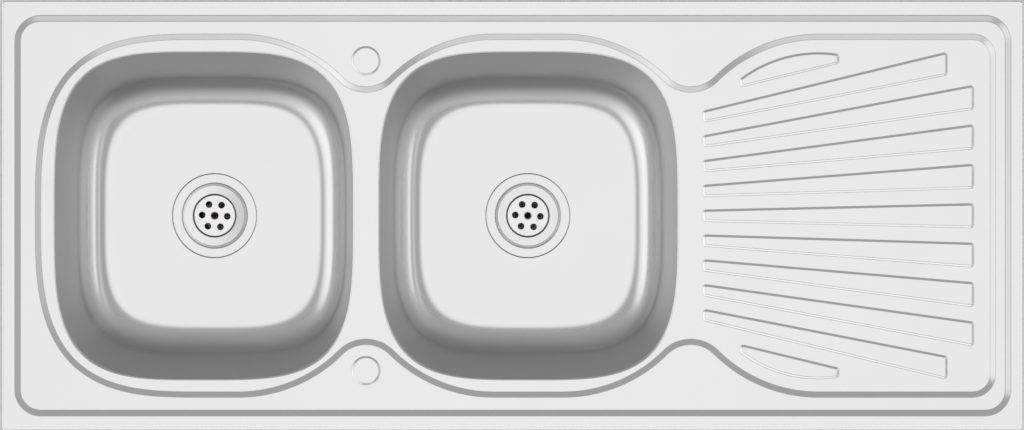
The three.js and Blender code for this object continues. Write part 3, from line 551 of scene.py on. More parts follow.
def pressed_form_tree():
    """Sweeps the bend along each outline and fills the raised tops."""
    tree, given, out = start_tree("pressed form", {
        "Bend": ("Object", None), "Run": ("Float", 0.002), "Rise": ("Float", 0.001),
        "Fill top": ("Bool", False), "Material": ("Material", None),
    })
    curve = add_node(tree, "GeometryNodeMeshToCurve", {"Mesh": given["Geometry"]})
    level = add_node(tree, "GeometryNodeSetCurveNormal", {"mode": "Z_UP", "Curve": curve})
    bend = add_node(tree, "GeometryNodeObjectInfo", {"Object": given["Bend"]})
    profile = add_node(tree, "GeometryNodeMeshToCurve", {"Mesh": bend.outputs["Geometry"]})
    wall = add_node(tree, "GeometryNodeCurveToMesh", {"Curve": level, "Profile Curve": profile})
    tangent_node = add_node(tree, "GeometryNodeInputTangent")
    outwards = add_node(tree, "ShaderNodeVectorMath", {
        "operation": "CROSS_PRODUCT", 0: tangent_node, 1: (0, 0, 1),
    })
    back = add_node(tree, "ShaderNodeMath", {"operation": "MULTIPLY", 0: given["Run"], 1: -1.0})
    inwards = add_node(tree, "ShaderNodeVectorMath", {
        "operation": "SCALE", "Scale": back, 0: outwards,
    })
    top_edge = add_node(tree, "GeometryNodeSetPosition", {"Geometry": level, "Offset": inwards})
    top = add_node(tree, "GeometryNodeFillCurve", {"mode": "TRIANGLES", "Curve": top_edge})
    lift = add_node(tree, "ShaderNodeCombineXYZ", {"Z": given["Rise"]})
    lifted = add_node(tree, "GeometryNodeSetPosition", {"Geometry": top, "Offset": lift})
    chosen = add_node(tree, "GeometryNodeSwitch", {
        "input_type": "GEOMETRY", "Switch": given["Fill top"], "True": lifted,
    })
    joined = add_node(tree, "GeometryNodeJoinGeometry", {"Geometry": [wall, chosen]})
    return end_tree(tree, given, out, joined)


def flat_sheet_tree():
    """Fills the area between outlines at one level."""
    tree, given, out = start_tree("flat sheet between outlines", {
        "Level": ("Float", 0.0), "Material": ("Material", None),
    })
    curve = add_node(tree, "GeometryNodeMeshToCurve", {"Mesh": given["Geometry"]})
    area = add_node(tree, "GeometryNodeFillCurve", {"mode": "TRIANGLES", "Curve": curve})
    lift = add_node(tree, "ShaderNodeCombineXYZ", {"Z": given["Level"]})
    lifted = add_node(tree, "GeometryNodeSetPosition", {"Geometry": area, "Offset": lift})
    return end_tree(tree, given, out, lifted)


press = pressed_form_tree()
flat = flat_sheet_tree()
print("trees:", press.name, "and", flat.name)

# %% [markdown]
# ## The bends
#
# Sheet never folds sharply: a pressed slope is an arc, a straight run and an arc back. Given the
# run, the drop and the slope's steepest angle, the arc's radius and the straight length follow. The
# small raised forms have plain slopes in the CAD model. Here their feet flare out by a millimetre,
# as a sheet does that is drawn over a die's rounded edge.

# %% Bend profiles
def slope_bend(run, drop, steepness=0.3, steps=6):
    """Points (across, up) of a bend that drops over a run. Steepness 0 has no arcs, 1 only arcs."""
    angle = math.atan2(abs(drop), run) * (1 + steepness)
    radius = (run * math.sin(angle) - abs(drop) * math.cos(angle)) / (2 * (1 - math.cos(angle)))
    side = math.copysign(1, drop)
    turns = [angle * i / steps for i in range(steps + 1)]
    first = [(radius * math.sin(turn), -side * radius * (1 - math.cos(turn))) for turn in turns]
    second = [(run - x, -drop - z) for x, z in reversed(first)]
    return first + second


def quarter_bend(radius, steps=8):
    """Points (across, up) of a quarter turn that starts upright."""
    turns = [math.pi / 2 * i / steps for i in range(steps + 1)]
    return [(radius * (1 - math.cos(turn)), radius * math.sin(turn)) for turn in turns]


def press_round(name, outlines, level, profile, fill_top=False):
    """Sweeps a bend profile of (inwards, up) points along outlines at one level."""
    bend = chain("bend", [(-across, -up, 0) for across, up in profile])
    outline = loops(name, outlines, level)
    inputs = {"Bend": bend, "Material": deck_steel, "Fill top": fill_top,
              "Run": profile[-1][0] * MM, "Rise": (level + profile[-1][1]) * MM}
    return bake(outline, press, inputs, drop=[bend])


def flat_between(name, outlines, level):
    """A flat area at one level. Each outline inside another is a hole."""
    return bake(loops(name, outlines, 0), flat, {"Level": level * MM, "Material": deck_steel})


flare, rib_slope, rib_rise, tap_slope, tap_rise = 1.0, 2.4, 1.8, 2, 1
edge_r, edge_foot_z, edge_upright = 2, 0.5, 3.0
step_bend = slope_bend(step_width, rim_z - platform_z)
contour_bend = slope_bend(contour_width, platform_z - basin_z, 0.2)
rib_bend = slope_bend(rib_slope + flare, -rib_rise, 0.4)
tap_bend = slope_bend(tap_slope + flare, -tap_rise, 0.3)
edge_bend = [(0, 0)] + [(x, edge_upright + z) for x, z in quarter_bend(edge_r)]
lip_bend = [(lip_r - x, z - lip_r) for x, z in reversed(quarter_bend(lip_r))]
lip_bend.append((lip_r, weld_z - basin_z))
print("step bend:", [(round(x, 2), round(z, 2)) for x, z in step_bend][:4], "...")

# %% [markdown]
# ## The deck
#
# Now the deck is one pressed sheet: the turned-down edge, the rim, the step, the platform with its
# tap marks, the contour, the basin level with ribs and leaves, and the lips of the two bowls. The
# parts share their edge points, so welding them closes the sheet, and Solidify gives it its 0.8 mm.

# %% Press and weld the deck
flared_ribs = [moved_in(outline, -flare) for outline in ribs + leaves]
flared_tap_marks = [moved_in(outline, -flare) for outline in tap_marks]
deck_parts = [
    press_round("edge", [edge], edge_foot_z, edge_bend),
    press_round("step", [step], rim_z, step_bend),
    press_round("contour", [contour], platform_z, contour_bend),
    press_round("tap marks", flared_tap_marks, platform_z, tap_bend, fill_top=True),
    press_round("ribs", flared_ribs, basin_z, rib_bend, fill_top=True),
    press_round("lips", mouths, basin_z, lip_bend),
    flat_between("rim", [moved_in(edge, edge_r), step], rim_z),
    flat_between("platform", [moved_in(step, step_width), contour, *flared_tap_marks], platform_z),
    flat_between("basin", [moved_in(contour, contour_width), *flared_ribs, *mouths], basin_z),
]
deck = weld("deck_sheet", deck_parts, up=True)
thicken(deck, sheet, -1, even=True)
deck = weld("deck_sheet", [bake(deck)], distance=0.0005)
print("edges of the deck that don't join two faces:", loose_edges(deck.data))
finish_piece(deck, deck_steel, "sink", ["deck_panel"], 80)

# %% [markdown]
# ## Drawn and turned forms as a geometry tree
#
# A bowl and a lathe-turned piece follow the same rule: a profile goes once round an axis. Only the
# shape of the round differs. A turned piece is a circle, a bowl is a superellipse whose two half
# lengths and squareness change on the way down. The tree lays a grid, looks up each row's profile
# point, and bends the row round the axis.

# %% Geometry tree: round form
def round_form_tree():
    """Lays a grid and bends each of its rows round the axis."""
    tree, given, out = start_tree("profile taken round an axis", {
        "Steps round": ("Int", 96), "Material": ("Material", None),
    })
    source = given["Geometry"]
    size = add_node(tree, "GeometryNodeAttributeDomainSize", {"Geometry": source})
    rows = size.outputs["Point Count"]
    columns = add_node(tree, "ShaderNodeMath", {0: given["Steps round"], 1: 1.0})
    grid = add_node(tree, "GeometryNodeMeshGrid", {
        "Size X": 1.0, "Size Y": 1.0, "Vertices X": rows, "Vertices Y": columns,
    })
    split = add_node(tree, "ShaderNodeSeparateXYZ", {
        "Vector": add_node(tree, "GeometryNodeInputPosition"),
    })
    share = add_node(tree, "ShaderNodeMath", {0: split.outputs["X"], 1: 0.5})
    last = add_node(tree, "ShaderNodeMath", {"operation": "SUBTRACT", 0: rows, 1: 1.0})
    row = add_node(tree, "ShaderNodeMath", {"operation": "MULTIPLY", 0: share, 1: last})
    whole = add_node(tree, "ShaderNodeMath", {"operation": "ROUND", 0: row})
    turn = add_node(tree, "ShaderNodeMath", {0: split.outputs["Y"], 1: 0.5})
    angle = add_node(tree, "ShaderNodeMath", {"operation": "MULTIPLY", 0: turn, 1: 2 * math.pi})
    halves = add_node(tree, "GeometryNodeSampleIndex", {
        "data_type": "FLOAT_VECTOR", "Geometry": source, "Index": whole,
        "Value": add_node(tree, "GeometryNodeInputPosition"),
    })
    named = add_node(tree, "GeometryNodeInputNamedAttribute", {
        "data_type": "FLOAT", "Name": "exponent",
    })
    squareness = add_node(tree, "GeometryNodeSampleIndex", {
        "data_type": "FLOAT", "Geometry": source, "Index": whole, "Value": named,
    })
    power = add_node(tree, "ShaderNodeMath", {"operation": "DIVIDE", 0: 2.0, 1: squareness})
    half = add_node(tree, "ShaderNodeSeparateXYZ", {"Vector": halves})
    sides = []
    for wave, socket in (("COSINE", "X"), ("SINE", "Y")):
        plain = add_node(tree, "ShaderNodeMath", {"operation": wave, 0: angle})
        size_of = add_node(tree, "ShaderNodeMath", {"operation": "ABSOLUTE", 0: plain})
        bulge = add_node(tree, "ShaderNodeMath", {"operation": "POWER", 0: size_of, 1: power})
        sign = add_node(tree, "ShaderNodeMath", {"operation": "SIGN", 0: plain})
        signed = add_node(tree, "ShaderNodeMath", {"operation": "MULTIPLY", 0: bulge, 1: sign})
        sides.append(add_node(tree, "ShaderNodeMath", {
            "operation": "MULTIPLY", 0: signed, 1: half.outputs[socket],
        }))
    place = add_node(tree, "ShaderNodeCombineXYZ", {
        "X": sides[0], "Y": sides[1], "Z": half.outputs["Z"],
    })
    bent = add_node(tree, "GeometryNodeSetPosition", {"Geometry": grid, "Position": place})
    return end_tree(tree, given, out, bent)


round_form = round_form_tree()


def taken_round(name, rows, steps=96, material=None):
    """A mesh from rows (half along x, half along y, z, squareness)."""
    profile = chain(name, [row[:3] for row in rows])
    squareness = profile.data.attributes.new("exponent", "FLOAT", "POINT")
    squareness.data.foreach_set("value", [row[3] for row in rows])
    return bake(profile, round_form, {"Steps round": steps, "Material": material})


def turned(name, profile, steps=96):
    """A mesh from a lathe profile of (radius, height)."""
    return taken_round(name, [(r, r, z, 2.0) for r, z in profile], steps)


print("tree:", round_form.name)

# %% [markdown]
# ## The bowls
#
# A deep-drawn bowl has drafted walls that run into the floor in one fillet. The draft starts gently
# under the lip, where the bowl is welded to the deck and the joint is ground flush. Round the waste
# the floor steps down to a flat ring and then dishes to the hole. The profile is worked out here
# row by row; the tree takes it round.

# %% Draw the bowls
bowl_fillet, drafts = 37.0, (7.0, 13.0)
recess_r, recess, seat_r, seat_slope, waste_hole_r = 52.0, 1.6, 41.0, 0.12, 30.0


def seat_z(radius):
    """Height of the strainer's seat over the bowl floor."""
    return -recess - (seat_r - radius) * seat_slope


def wall_half(mouth, draft, z):
    """Half length of the wall at a height: the draft grows from nothing over a few millimetres."""
    depth, ease = weld_z - z, 4.0
    eased = depth + ease * (math.exp(-depth / ease) - 1)
    return mouth - math.tan(math.radians(draft)) * eased


def bowl_half(mouth, draft, z):
    """Half length of the bowl at a height, on the wall or in the fillet below it."""
    angle = math.radians(draft)
    tangent_z = floor_z + bowl_fillet * (1 - math.sin(angle))
    if z >= tangent_z:
        return wall_half(mouth, draft, z)
    centre = wall_half(mouth, draft, tangent_z) - bowl_fillet * math.cos(angle)
    return centre + math.sqrt(max(0.0, bowl_fillet ** 2 - (floor_z + bowl_fillet - z) ** 2))


def bowl_rows():
    """Rows of the bowl from its weld to the edge of the waste hole."""
    heights = [weld_z - d for d in (0, 0.8, 2, 4, 7, 11, 18, 30, 45, 60, 75, 88, 98)]
    angles = [math.radians(a) for a in range(6, 91, 4)] + [math.pi / 2]
    heights += [floor_z + bowl_fillet * (1 - math.sin(a)) for a in angles]
    rows = [(*(bowl_half(*side, z) for side in zip(mouth_half, drafts)), z, mouth_exponent)
            for z in heights]
    flat_x, flat_y = rows[-1][:2]
    for share in (0.04, 0.3, 0.6, 0.85, 1.0):
        half_x, half_y = (h + (recess_r - h) * share for h in (flat_x, flat_y))
        rows.append((half_x, half_y, floor_z, mouth_exponent + (2 - mouth_exponent) * share))
    lowest = seat_z(waste_hole_r + 1)
    seat = [(51.8, -0.06), (51.5, -0.3), (50.9, -1.3), (50.6, -1.54), (50.2, -recess),
            (seat_r + 0.5, -recess), (seat_r - 0.5, seat_z(seat_r - 0.5)),
            (waste_hole_r + 1, lowest), (waste_hole_r + 0.3, lowest - 0.1),
            (waste_hole_r, lowest - 0.4), (waste_hole_r, lowest - 0.8)]
    return rows + [(r, r, floor_z + z, 2.0) for r, z in seat]


for side, x in bowl_xs.items():
    skin = taken_round("bowl", bowl_rows(), 192, bowl_steel)
    shell = weld("bowl", [skin], up=True, move=shift(x))
    thicken(shell, sheet, -1)
    made = weld(f"{side}_bowl_drawn", [bake(shell)], distance=0.0005)
    finish_piece(made, bowl_steel, "sink", [f"{side}_bowl"], 60)

# %% [markdown]
# ## Perforated strainer
#
# The strainer is one stamping: a rolled edge, a dish, a flat plate with six punched holes and a cup
# in the middle for the screw. Turning makes the dish and the cup. The plate is a tree of its own:
# Fill Curve leaves the holes open, and each hole gets its punched, slightly rounded wall as an
# instance.

# %% Geometry tree: ring of punched holes
def punched_plate_tree():
    """Fills a disc round its holes and sets a punched wall in each hole."""
    tree, given, out = start_tree("ring of punched holes", {
        "Plate radius": ("Float", 0.0255), "Cup radius": ("Float", 0.00445),
        "Hole radius": ("Float", 0.004), "Edge radius": ("Float", 0.00025),
        "Circle radius": ("Float", 0.0153), "Holes": ("Int", 6), "Turn": ("Float", -0.0524),
        "Steps round": ("Int", 96), "Hole steps": ("Int", 32), "Thickness": ("Float", 0.0009),
        "Material": ("Material", None),
    })
    wide = add_node(tree, "ShaderNodeMath", {0: given["Hole radius"], 1: given["Edge radius"]})
    circles = {
        name: add_node(tree, "GeometryNodeCurvePrimitiveCircle", {
            "Resolution": given[steps], "Radius": radius,
        })
        for name, steps, radius in (
            ("plate", "Steps round", given["Plate radius"]),
            ("cup", "Steps round", given["Cup radius"]),
            ("hole", "Hole steps", wide),
            ("ring", "Holes", given["Circle radius"]),
        )
    }
    turn = add_node(tree, "ShaderNodeCombineXYZ", {"Z": given["Turn"]})
    ring = add_node(tree, "GeometryNodeTransform", {"Geometry": circles["ring"], "Rotation": turn})
    holes = add_node(tree, "GeometryNodeInstanceOnPoints", {
        "Points": ring, "Instance": circles["hole"],
    })
    real_holes = add_node(tree, "GeometryNodeRealizeInstances", {"Geometry": holes})
    outlines = add_node(tree, "GeometryNodeJoinGeometry", {
        "Geometry": [circles["plate"], circles["cup"], real_holes],
    })
    top = add_node(tree, "GeometryNodeFillCurve", {"mode": "TRIANGLES", "Curve": outlines})
    below = add_node(tree, "ShaderNodeMath", {
        "operation": "MULTIPLY", 0: given["Thickness"], 1: -1.0,
    })
    drop = add_node(tree, "ShaderNodeCombineXYZ", {"Z": below})
    lowered = add_node(tree, "GeometryNodeSetPosition", {"Geometry": top, "Offset": drop})
    under = add_node(tree, "GeometryNodeFlipFaces", {"Mesh": lowered})
    wall = add_node(tree, "GeometryNodeInstanceOnPoints", {
        "Points": ring, "Instance": given["Geometry"],
    })
    joined = add_node(tree, "GeometryNodeJoinGeometry", {"Geometry": [top, under, wall]})
    return end_tree(tree, given, out, joined)


punched_plate = punched_plate_tree()
print("tree:", punched_plate.name)

# %% [markdown]
# ## Rounded corners on a profile
#
# No turned or stamped corner is quite sharp, and a sharp one catches no light. So each corner of a
# profile can have a fillet, and one function draws it as an arc in the plane of the profile.

# %% Rounded profiles
def eased(corners, steps=3):
    """Profile corners (radius, z) or (radius, z, fillet), with the fillets drawn as arcs."""
    points = []
    for i, corner in enumerate(corners):
        here = Vector(corner[:2])
        if len(corner) < 3 or i in (0, len(corners) - 1):
            points.append(tuple(here))
            continue
        a = (Vector(corners[i - 1][:2]) - here).normalized()
        b = (Vector(corners[i + 1][:2]) - here).normalized()
        half_angle = a.angle(b) / 2
        back = corner[2] / math.tan(half_angle)
        centre = here + (a + b).normalized() * corner[2] / math.sin(half_angle)
        start, end = here + a * back - centre, here + b * back - centre
        for k in range(steps + 1):
            direction = start.normalized().slerp(end.normalized(), k / steps)
            points.append(tuple(centre + direction * corner[2]))
    return points


def closed_turned(name, corners, steps=96):
    """A ring-shaped turned mesh: the profile runs back to its first corner."""
    start = tuple((a + b) / 2 for a, b in zip(corners[0][:2], corners[-1][:2]))
    return turned(name, eased([start, *corners, start]), steps)


rounded = eased([(0, 1), (1, 1, 0.5), (1, 0)])
print("a rounded corner:", [(round(x, 2), round(z, 2)) for x, z in rounded])

# %% [markdown]
# ## Stamping the strainer
#
# The flange lies on a rubber seal over the bowl's seat, so its height follows the seat's slope.
# Each list goes once round a section, from the inside over the top and back underneath. The dish,
# the cup and the plate meet at shared edges, and the weld makes one closed piece of them.

# %% Stamp the strainers
plate_r, plate_edge_r, strainer_r, strainer_sheet, plate_step = 24.3, 26.7, 40.0, 0.9, 2.0
cup_r, cup_lip, cup_depth, screw_bore = 4.45, 0.6, 4.6, 3.3
seal_height = 1.1  # the seal, and the gaps below and above it


def flange_z(radius):
    """Height of the strainer's upper face, which lies on a rubber seal over the seat."""
    return seat_z(radius) + seal_height + strainer_sheet


plate_z = flange_z(plate_edge_r) - plate_step
cup_floor = plate_z - cup_depth


def strainer_meshes():
    """Dish, cup and perforated plate of one strainer."""
    under, t = plate_z - strainer_sheet, strainer_sheet
    dish = eased([(plate_r, plate_z), (plate_r + 0.3, plate_z, 0.4),
                  (plate_edge_r, flange_z(plate_edge_r), 0.4), (36.4, flange_z(36.4), 1.0),
                  (38.5, flange_z(38.5) + 0.15, 0.3),
                  (strainer_r, flange_z(strainer_r) - 0.75), (strainer_r, flange_z(strainer_r) - t),
                  (plate_edge_r + 0.6, flange_z(plate_edge_r) - t, 0.5),
                  (plate_r + 0.8, under, 0.3), (plate_r, under)], 4)
    cup = eased([(cup_r + cup_lip, plate_z), (cup_r, plate_z, cup_lip), (cup_r, cup_floor),
                 (screw_bore, cup_floor), (screw_bore, cup_floor - t), (cup_r + t, cup_floor - t),
                 (cup_r + t, under), (cup_r + cup_lip, under)], 5)
    hole = [(4.25, 0), (4.13, -0.03), (4.03, -0.12), (4.0, -0.25), (4.0, -0.65), (4.03, -0.78),
            (4.13, -0.87), (4.25, -t)]
    wall = taken_round("hole wall", [(r, r, z, 2.0) for r, z in hole], 32, strainer_steel)
    plate_mesh = bake(in_scene("hole wall", wall), punched_plate, {
        "Material": strainer_steel, "Plate radius": plate_r * MM,
        "Cup radius": (cup_r + cup_lip) * MM,
    })
    plate_mesh.transform(shift(z=plate_z))
    return [turned("dish", dish), turned("cup", cup), plate_mesh]


for side, x in bowl_xs.items():
    strainer = weld(f"{side}_strainer_stamped", strainer_meshes(), distance=0.01,
                    move=shift(x, 0, floor_z))
    finish_piece(strainer, strainer_steel, "sink", [f"{side}_strainer"])

# %% [markdown]
# ## Threads as a geometry tree
#
# A thread is one groove that climbs as it goes round, so its depth at a point depends only on the
# height and on the turn about the axis. The tree moves the points of an already turned piece
# inwards by a wave of (height / pitch - turn). That keeps the piece one closed skin, while a swept
# spiral would only lie in it. The groove fades in and out over the run-out, as a die leaves it.

# %% Geometry tree: thread
def thread_tree():
    """Moves points towards the axis by a wave that climbs as it goes round."""
    tree, given, out = start_tree("thread cut round an axis", {
        "Pitch": ("Float", 0.0008), "Depth": ("Float", 0.0004), "Least radius": ("Float", 0.002),
        "Lower end": ("Float", 0.0), "Upper end": ("Float", 0.01), "Run-out": ("Float", 0.001),
        "Material": ("Material", None),
    })
    place = add_node(tree, "GeometryNodeInputPosition")
    split = add_node(tree, "ShaderNodeSeparateXYZ", {"Vector": place})
    across = add_node(tree, "ShaderNodeCombineXYZ", {
        "X": split.outputs["X"], "Y": split.outputs["Y"],
    })
    radius = add_node(tree, "ShaderNodeVectorMath", {"operation": "LENGTH", 0: across})
    outwards = add_node(tree, "ShaderNodeVectorMath", {"operation": "NORMALIZE", 0: across})
    angle = add_node(tree, "ShaderNodeMath", {
        "operation": "ARCTAN2", 0: split.outputs["Y"], 1: split.outputs["X"],
    })
    turn = add_node(tree, "ShaderNodeMath", {"operation": "DIVIDE", 0: angle, 1: 2 * math.pi})
    rise = add_node(tree, "ShaderNodeMath", {
        "operation": "DIVIDE", 0: split.outputs["Z"], 1: given["Pitch"],
    })
    phase = add_node(tree, "ShaderNodeMath", {"operation": "SUBTRACT", 0: rise, 1: turn})
    wave = add_node(tree, "ShaderNodeMath", {"operation": "PINGPONG", 0: phase, 1: 0.5})
    groove = add_node(tree, "ShaderNodeMapRange", {
        "From Min": 0.06, "From Max": 0.44, "Value": wave,
    })
    lower = add_node(tree, "ShaderNodeMath", {
        "operation": "SUBTRACT", 0: split.outputs["Z"], 1: given["Lower end"],
    })
    upper = add_node(tree, "ShaderNodeMath", {
        "operation": "SUBTRACT", 0: given["Upper end"], 1: split.outputs["Z"],
    })
    nearest = add_node(tree, "ShaderNodeMath", {"operation": "MINIMUM", 0: lower, 1: upper})
    fade = add_node(tree, "ShaderNodeMapRange", {"Value": nearest, "From Max": given["Run-out"]})
    outside = add_node(tree, "ShaderNodeMath", {
        "operation": "GREATER_THAN", 0: radius, 1: given["Least radius"],
    })
    depth = given["Depth"]
    for factor in (groove, fade, outside):
        depth = add_node(tree, "ShaderNodeMath", {"operation": "MULTIPLY", 0: depth, 1: factor})
    inwards = add_node(tree, "ShaderNodeMath", {"operation": "MULTIPLY", 0: depth, 1: -1.0})
    offset = add_node(tree, "ShaderNodeVectorMath", {
        "operation": "SCALE", "Scale": inwards, 0: outwards,
    })
    cut = add_node(tree, "GeometryNodeSetPosition", {
        "Geometry": given["Geometry"], "Offset": offset,
    })
    return end_tree(tree, given, out, cut)


thread = thread_tree()


def run_of(radius, low, high, spacing):
    """Profile points straight up a shank, close enough together to carry a thread."""
    count = max(1, round((high - low) / spacing))
    return [(radius, low + (high - low) * i / count) for i in range(count + 1)]


def threaded(mesh, material, pitch, depth, least, low, high, run_out):
    """A turned mesh with a thread cut between two heights, all in millimetres."""
    sizes = {"Pitch": pitch, "Depth": depth, "Least radius": least, "Lower end": low,
             "Upper end": high, "Run-out": run_out}
    inputs = {name: size * MM for name, size in sizes.items()}
    return bake(in_scene("blank", mesh), thread, {**inputs, "Material": material})


print("tree:", thread.name)

# %% [markdown]
# ## Cutting and folding
#
# Strip pieces start as a flat outline with its holes, are given their width and then a small bevel,
# because a blanked edge is never sharp and only a rounded edge catches light. Slots, drilled holes
# and notches are cut with a boolean, which is how the real piece gets them: material is taken away.

# %% Helpers for strip pieces and cuts
def closed_outline(corners, steps=4):
    """A closed outline in which each corner (x, y, fillet) is rounded, inside or outside."""
    start = tuple((a + b) / 2 for a, b in zip(corners[0][:2], corners[-1][:2]))
    return without_doubles(eased([start, *corners, start], steps)[:-1])


def blank(name, outlines, width, bevel=0.25, upright=True):
    """A mesh of a flat outline with holes, given a width. Upright turns the outline's y into z."""
    made = in_scene(name, bake(loops(name, outlines, 0), flat, {"Material": zinc}))
    thicken(made, width, 0)
    soft = made.modifiers.new("blanked edge", "BEVEL")
    soft.width = bevel * MM
    soft.segments = 2
    soft.angle_limit = math.radians(40)
    mesh = bake(made)
    if upright:
        mesh.transform(Matrix.Rotation(math.pi / 2, 4, "X"))
    return mesh


def cut_away(mesh, cutters):
    """Takes the cutters' meshes away from a mesh."""
    made = weld("work", [mesh], distance=0.0005)
    tool = weld("cutter", cutters, distance=0.0005)
    boolean = made.modifiers.new("cut", "BOOLEAN")
    boolean.operation = "DIFFERENCE"
    boolean.solver = "EXACT"
    boolean.object = tool
    return bake(made, drop=[tool])


def rod(radius, low, high, steps=32):
    """A solid round bar along Z, closed at both ends."""
    return turned("rod", [(0, low), (radius, low), (radius, high), (0, high)], steps)


def block(size, place=(0, 0, 0), turn=0.0):
    """A plain cutter with six faces, turned about Z."""
    work = bmesh.new()
    bmesh.ops.create_cube(work, size=MM)
    mesh = bpy.data.meshes.new("block")
    work.to_mesh(mesh)
    work.free()
    mesh.transform(shift(*place) @ Matrix.Rotation(turn, 4, "Z") @ Matrix.Diagonal((*size, 1)))
    return mesh


square = [(0, 0), (4, 0), (4, 4, 0.5), (0, 4)]
print("points on a square with one rounded corner:", len(closed_outline(square)))

# %% [markdown]
# ## The waste
#
# Under each strainer a moulded cup carries the outlet's tail. Inside it a three-armed cross holds a
# brass insert, and a brass screw in the strainer's cup pulls strainer and body together on a seal
# above the bowl and a gasket below it. From above only the slotted screw shows, deep in its cup and
# almost black. The tail's thread is the real 1 1/2 inch pipe thread with 2.3 mm between its turns.

# %% Turn and mould the waste
gap = 0.3  # glue line or squeeze between a piece and what carries it
insert_top, insert_length = cup_floor - 3.9, 7.0
arm_half, arm_reach, cross_height = 1.5, 38.1, 6.0
cross_z = insert_top - 0.5 - cross_height / 2
arm_turns = [math.pi / 2 + 2 * math.pi * i / 3 for i in range(3)]


def waste_body_mesh():
    """Cup and threaded tail, with pockets for the cross. Corners are (radius, height, fillet)."""
    foot, top, pitch = -72.0, -5.0, 2.309
    outside = [(22.6, foot), *run_of(23.9, foot + 1.3, -44.0, pitch / 8),
               *eased([(23.9, -44.0), (23.9, -40.4, 0.6), (38.6, -32.3, 3.0), (40.6, -8.0, 0.8),
                       (49.7, -8.0, 0.3), (50.0, -7.7, 0.3), (50.0, -5.3, 0.3), (49.7, top, 0.2),
                       (38.3, top, 0.3), (36.0, -31.0, 2.0), (19.0, -38.0, 2.0), (19.0, foot + 0.6),
                       (19.6, foot)], 3)[1:]]
    mesh = turned("waste body", [*outside, outside[0]], 120)
    mesh = threaded(mesh, plastic, pitch, 1.35, 21.5, foot + 0.4, -44.5, 2.0)
    length = 10.0
    pockets = []
    for turn in arm_turns:
        pocket = block((length, 2 * (arm_half + gap), cross_height + 2 * gap))
        outwards = shift(arm_reach + gap - length / 2, 0, cross_z)
        pocket.transform(Matrix.Rotation(turn, 4, "Z") @ outwards)
        pockets.append(pocket)
    return cut_away(mesh, pockets)


def waste_cross_mesh():
    """Outline of a hub with three arms, given its height. The arms' roots are filleted."""
    hub, fillet, start_beside = 8.0, 1.0, 0.3
    root, spread = math.sqrt(hub ** 2 - arm_half ** 2), math.asin(arm_half / hub)
    corners = []
    for turn in arm_turns:
        along = Vector((math.cos(turn), math.sin(turn)))
        across = Vector((-along.y, along.x)) * arm_half
        corners += [(*(along * root - across), fillet), (*(along * arm_reach - across),),
                    (*(along * arm_reach + across),), (*(along * root + across), fillet)]
        start = turn + spread + start_beside
        end = start + 2 * math.pi / 3 - 2 * (spread + start_beside)
        corners += arc((0, 0), hub, start, end, 10)
    hole = arc((0, 0), 5.3, 0, 2 * math.pi, 48)[:-1]
    mesh = blank("cross", [closed_outline(corners), hole], cross_height, 0.35, upright=False)
    mesh.transform(shift(z=cross_z))
    return mesh


def slotted_screw_mesh():
    """Waste screw with a round-edged head, a thread and a slot that stopped at no special angle."""
    under = cup_floor + gap
    top, tip = under + 2.5, under - 17.0
    profile = [(0, tip), (2.4, tip), *run_of(3.0, tip + 0.6, under, 0.125), *eased([
        (3.0, under), (4.1, under, 0.15), (4.1, top, 0.55), (0, top)], 5)[1:]]
    mesh = threaded(turned("screw", profile, 48), brass, 1.0, 0.55, 2.3, tip, under - 1.0, 0.8)
    return cut_away(mesh, [block((10, 1.2, 2.6), (0, 0, top), 0.5)])


def waste_pieces(side):
    """The six pieces of one waste, from the seal above the bowl to the body below it."""
    def on_seat(radius, up):
        return (radius, seat_z(radius) + up, 0.15)

    sealed = [on_seat(33.5, 0.3), on_seat(39.5, 0.3), on_seat(39.5, 0.8), on_seat(33.5, 0.8)]
    gasket = [(42.0, -4.7, 0.4), (49.0, -4.7, 0.4), (49.0, -2.7, 0.4), (42.0, -2.7, 0.4)]
    foot, groove = insert_top - insert_length, insert_top - insert_length / 2
    insert = [(3.3, foot, 0.2), (5.0, foot, 0.3), (5.0, groove - 0.8), (4.6, groove - 0.5),
              (4.6, groove + 0.5), (5.0, groove + 0.8), (5.0, insert_top, 0.3),
              (3.3, insert_top, 0.2)]
    made = {
        "flange_seal": (closed_turned("seal", sealed), rubber, "seal_rubber"),
        "body_gasket": (closed_turned("gasket", gasket), rubber, "seal_rubber"),
        "brass_insert": (closed_turned("insert", insert, 48), brass, "screw_brass"),
        # The screw's near-black brass is painted shade for its deep cup.
        "waste_screw": (slotted_screw_mesh(), brass_painted_shade, "screw_brass"),
        "waste_cross": (waste_cross_mesh(), plastic, "waste_plastic"),
        "waste_body": (waste_body_mesh(), plastic, "waste_plastic"),
    }
    for name, (mesh, material, slot) in made.items():
        whole = weld(f"{side}_{name}_fine", [mesh], distance=0.001,
                     move=shift(bowl_xs[side], 0, floor_z))
        finish_piece(whole, material, "sink", [f"{side}_{name}"])


for side in bowl_xs:
    waste_pieces(side)

# %% [markdown]
# ## Foam strip and sound pads
#
# A strip of closed-cell foam under the rim seals it to the worktop. It is one closed profile taken
# round the rim with the press tool's tree. A square pad of bitumen felt is stuck under each bowl's
# floor to deaden the drumming of water.

# %% Lay the strip and the pads
strip_width, strip_height, strip_round = 7.4, 4.4, 0.5
strip_corners = [(x, z, strip_round) for x, z in (
    (0.0, 0.0), (strip_width, 0.0), (strip_width, strip_height), (0.0, strip_height))]
strip = chain("strip", [(-x, -z, 0) for x, z in closed_outline(strip_corners)], closed=True)
strip_outline = rounded_rectangle(deck_half[0] - edge_r, deck_half[1] - edge_r, 10.4)
around = loops("rim strip", [without_doubles(strip_outline)], 0)
strip_mesh = bake(around, press, {"Bend": strip, "Material": foam, "Fill top": False}, drop=[strip])
finish_piece(weld("rim_strip", [strip_mesh], distance=0.001), foam, "sink",
             ["rim_seal"])

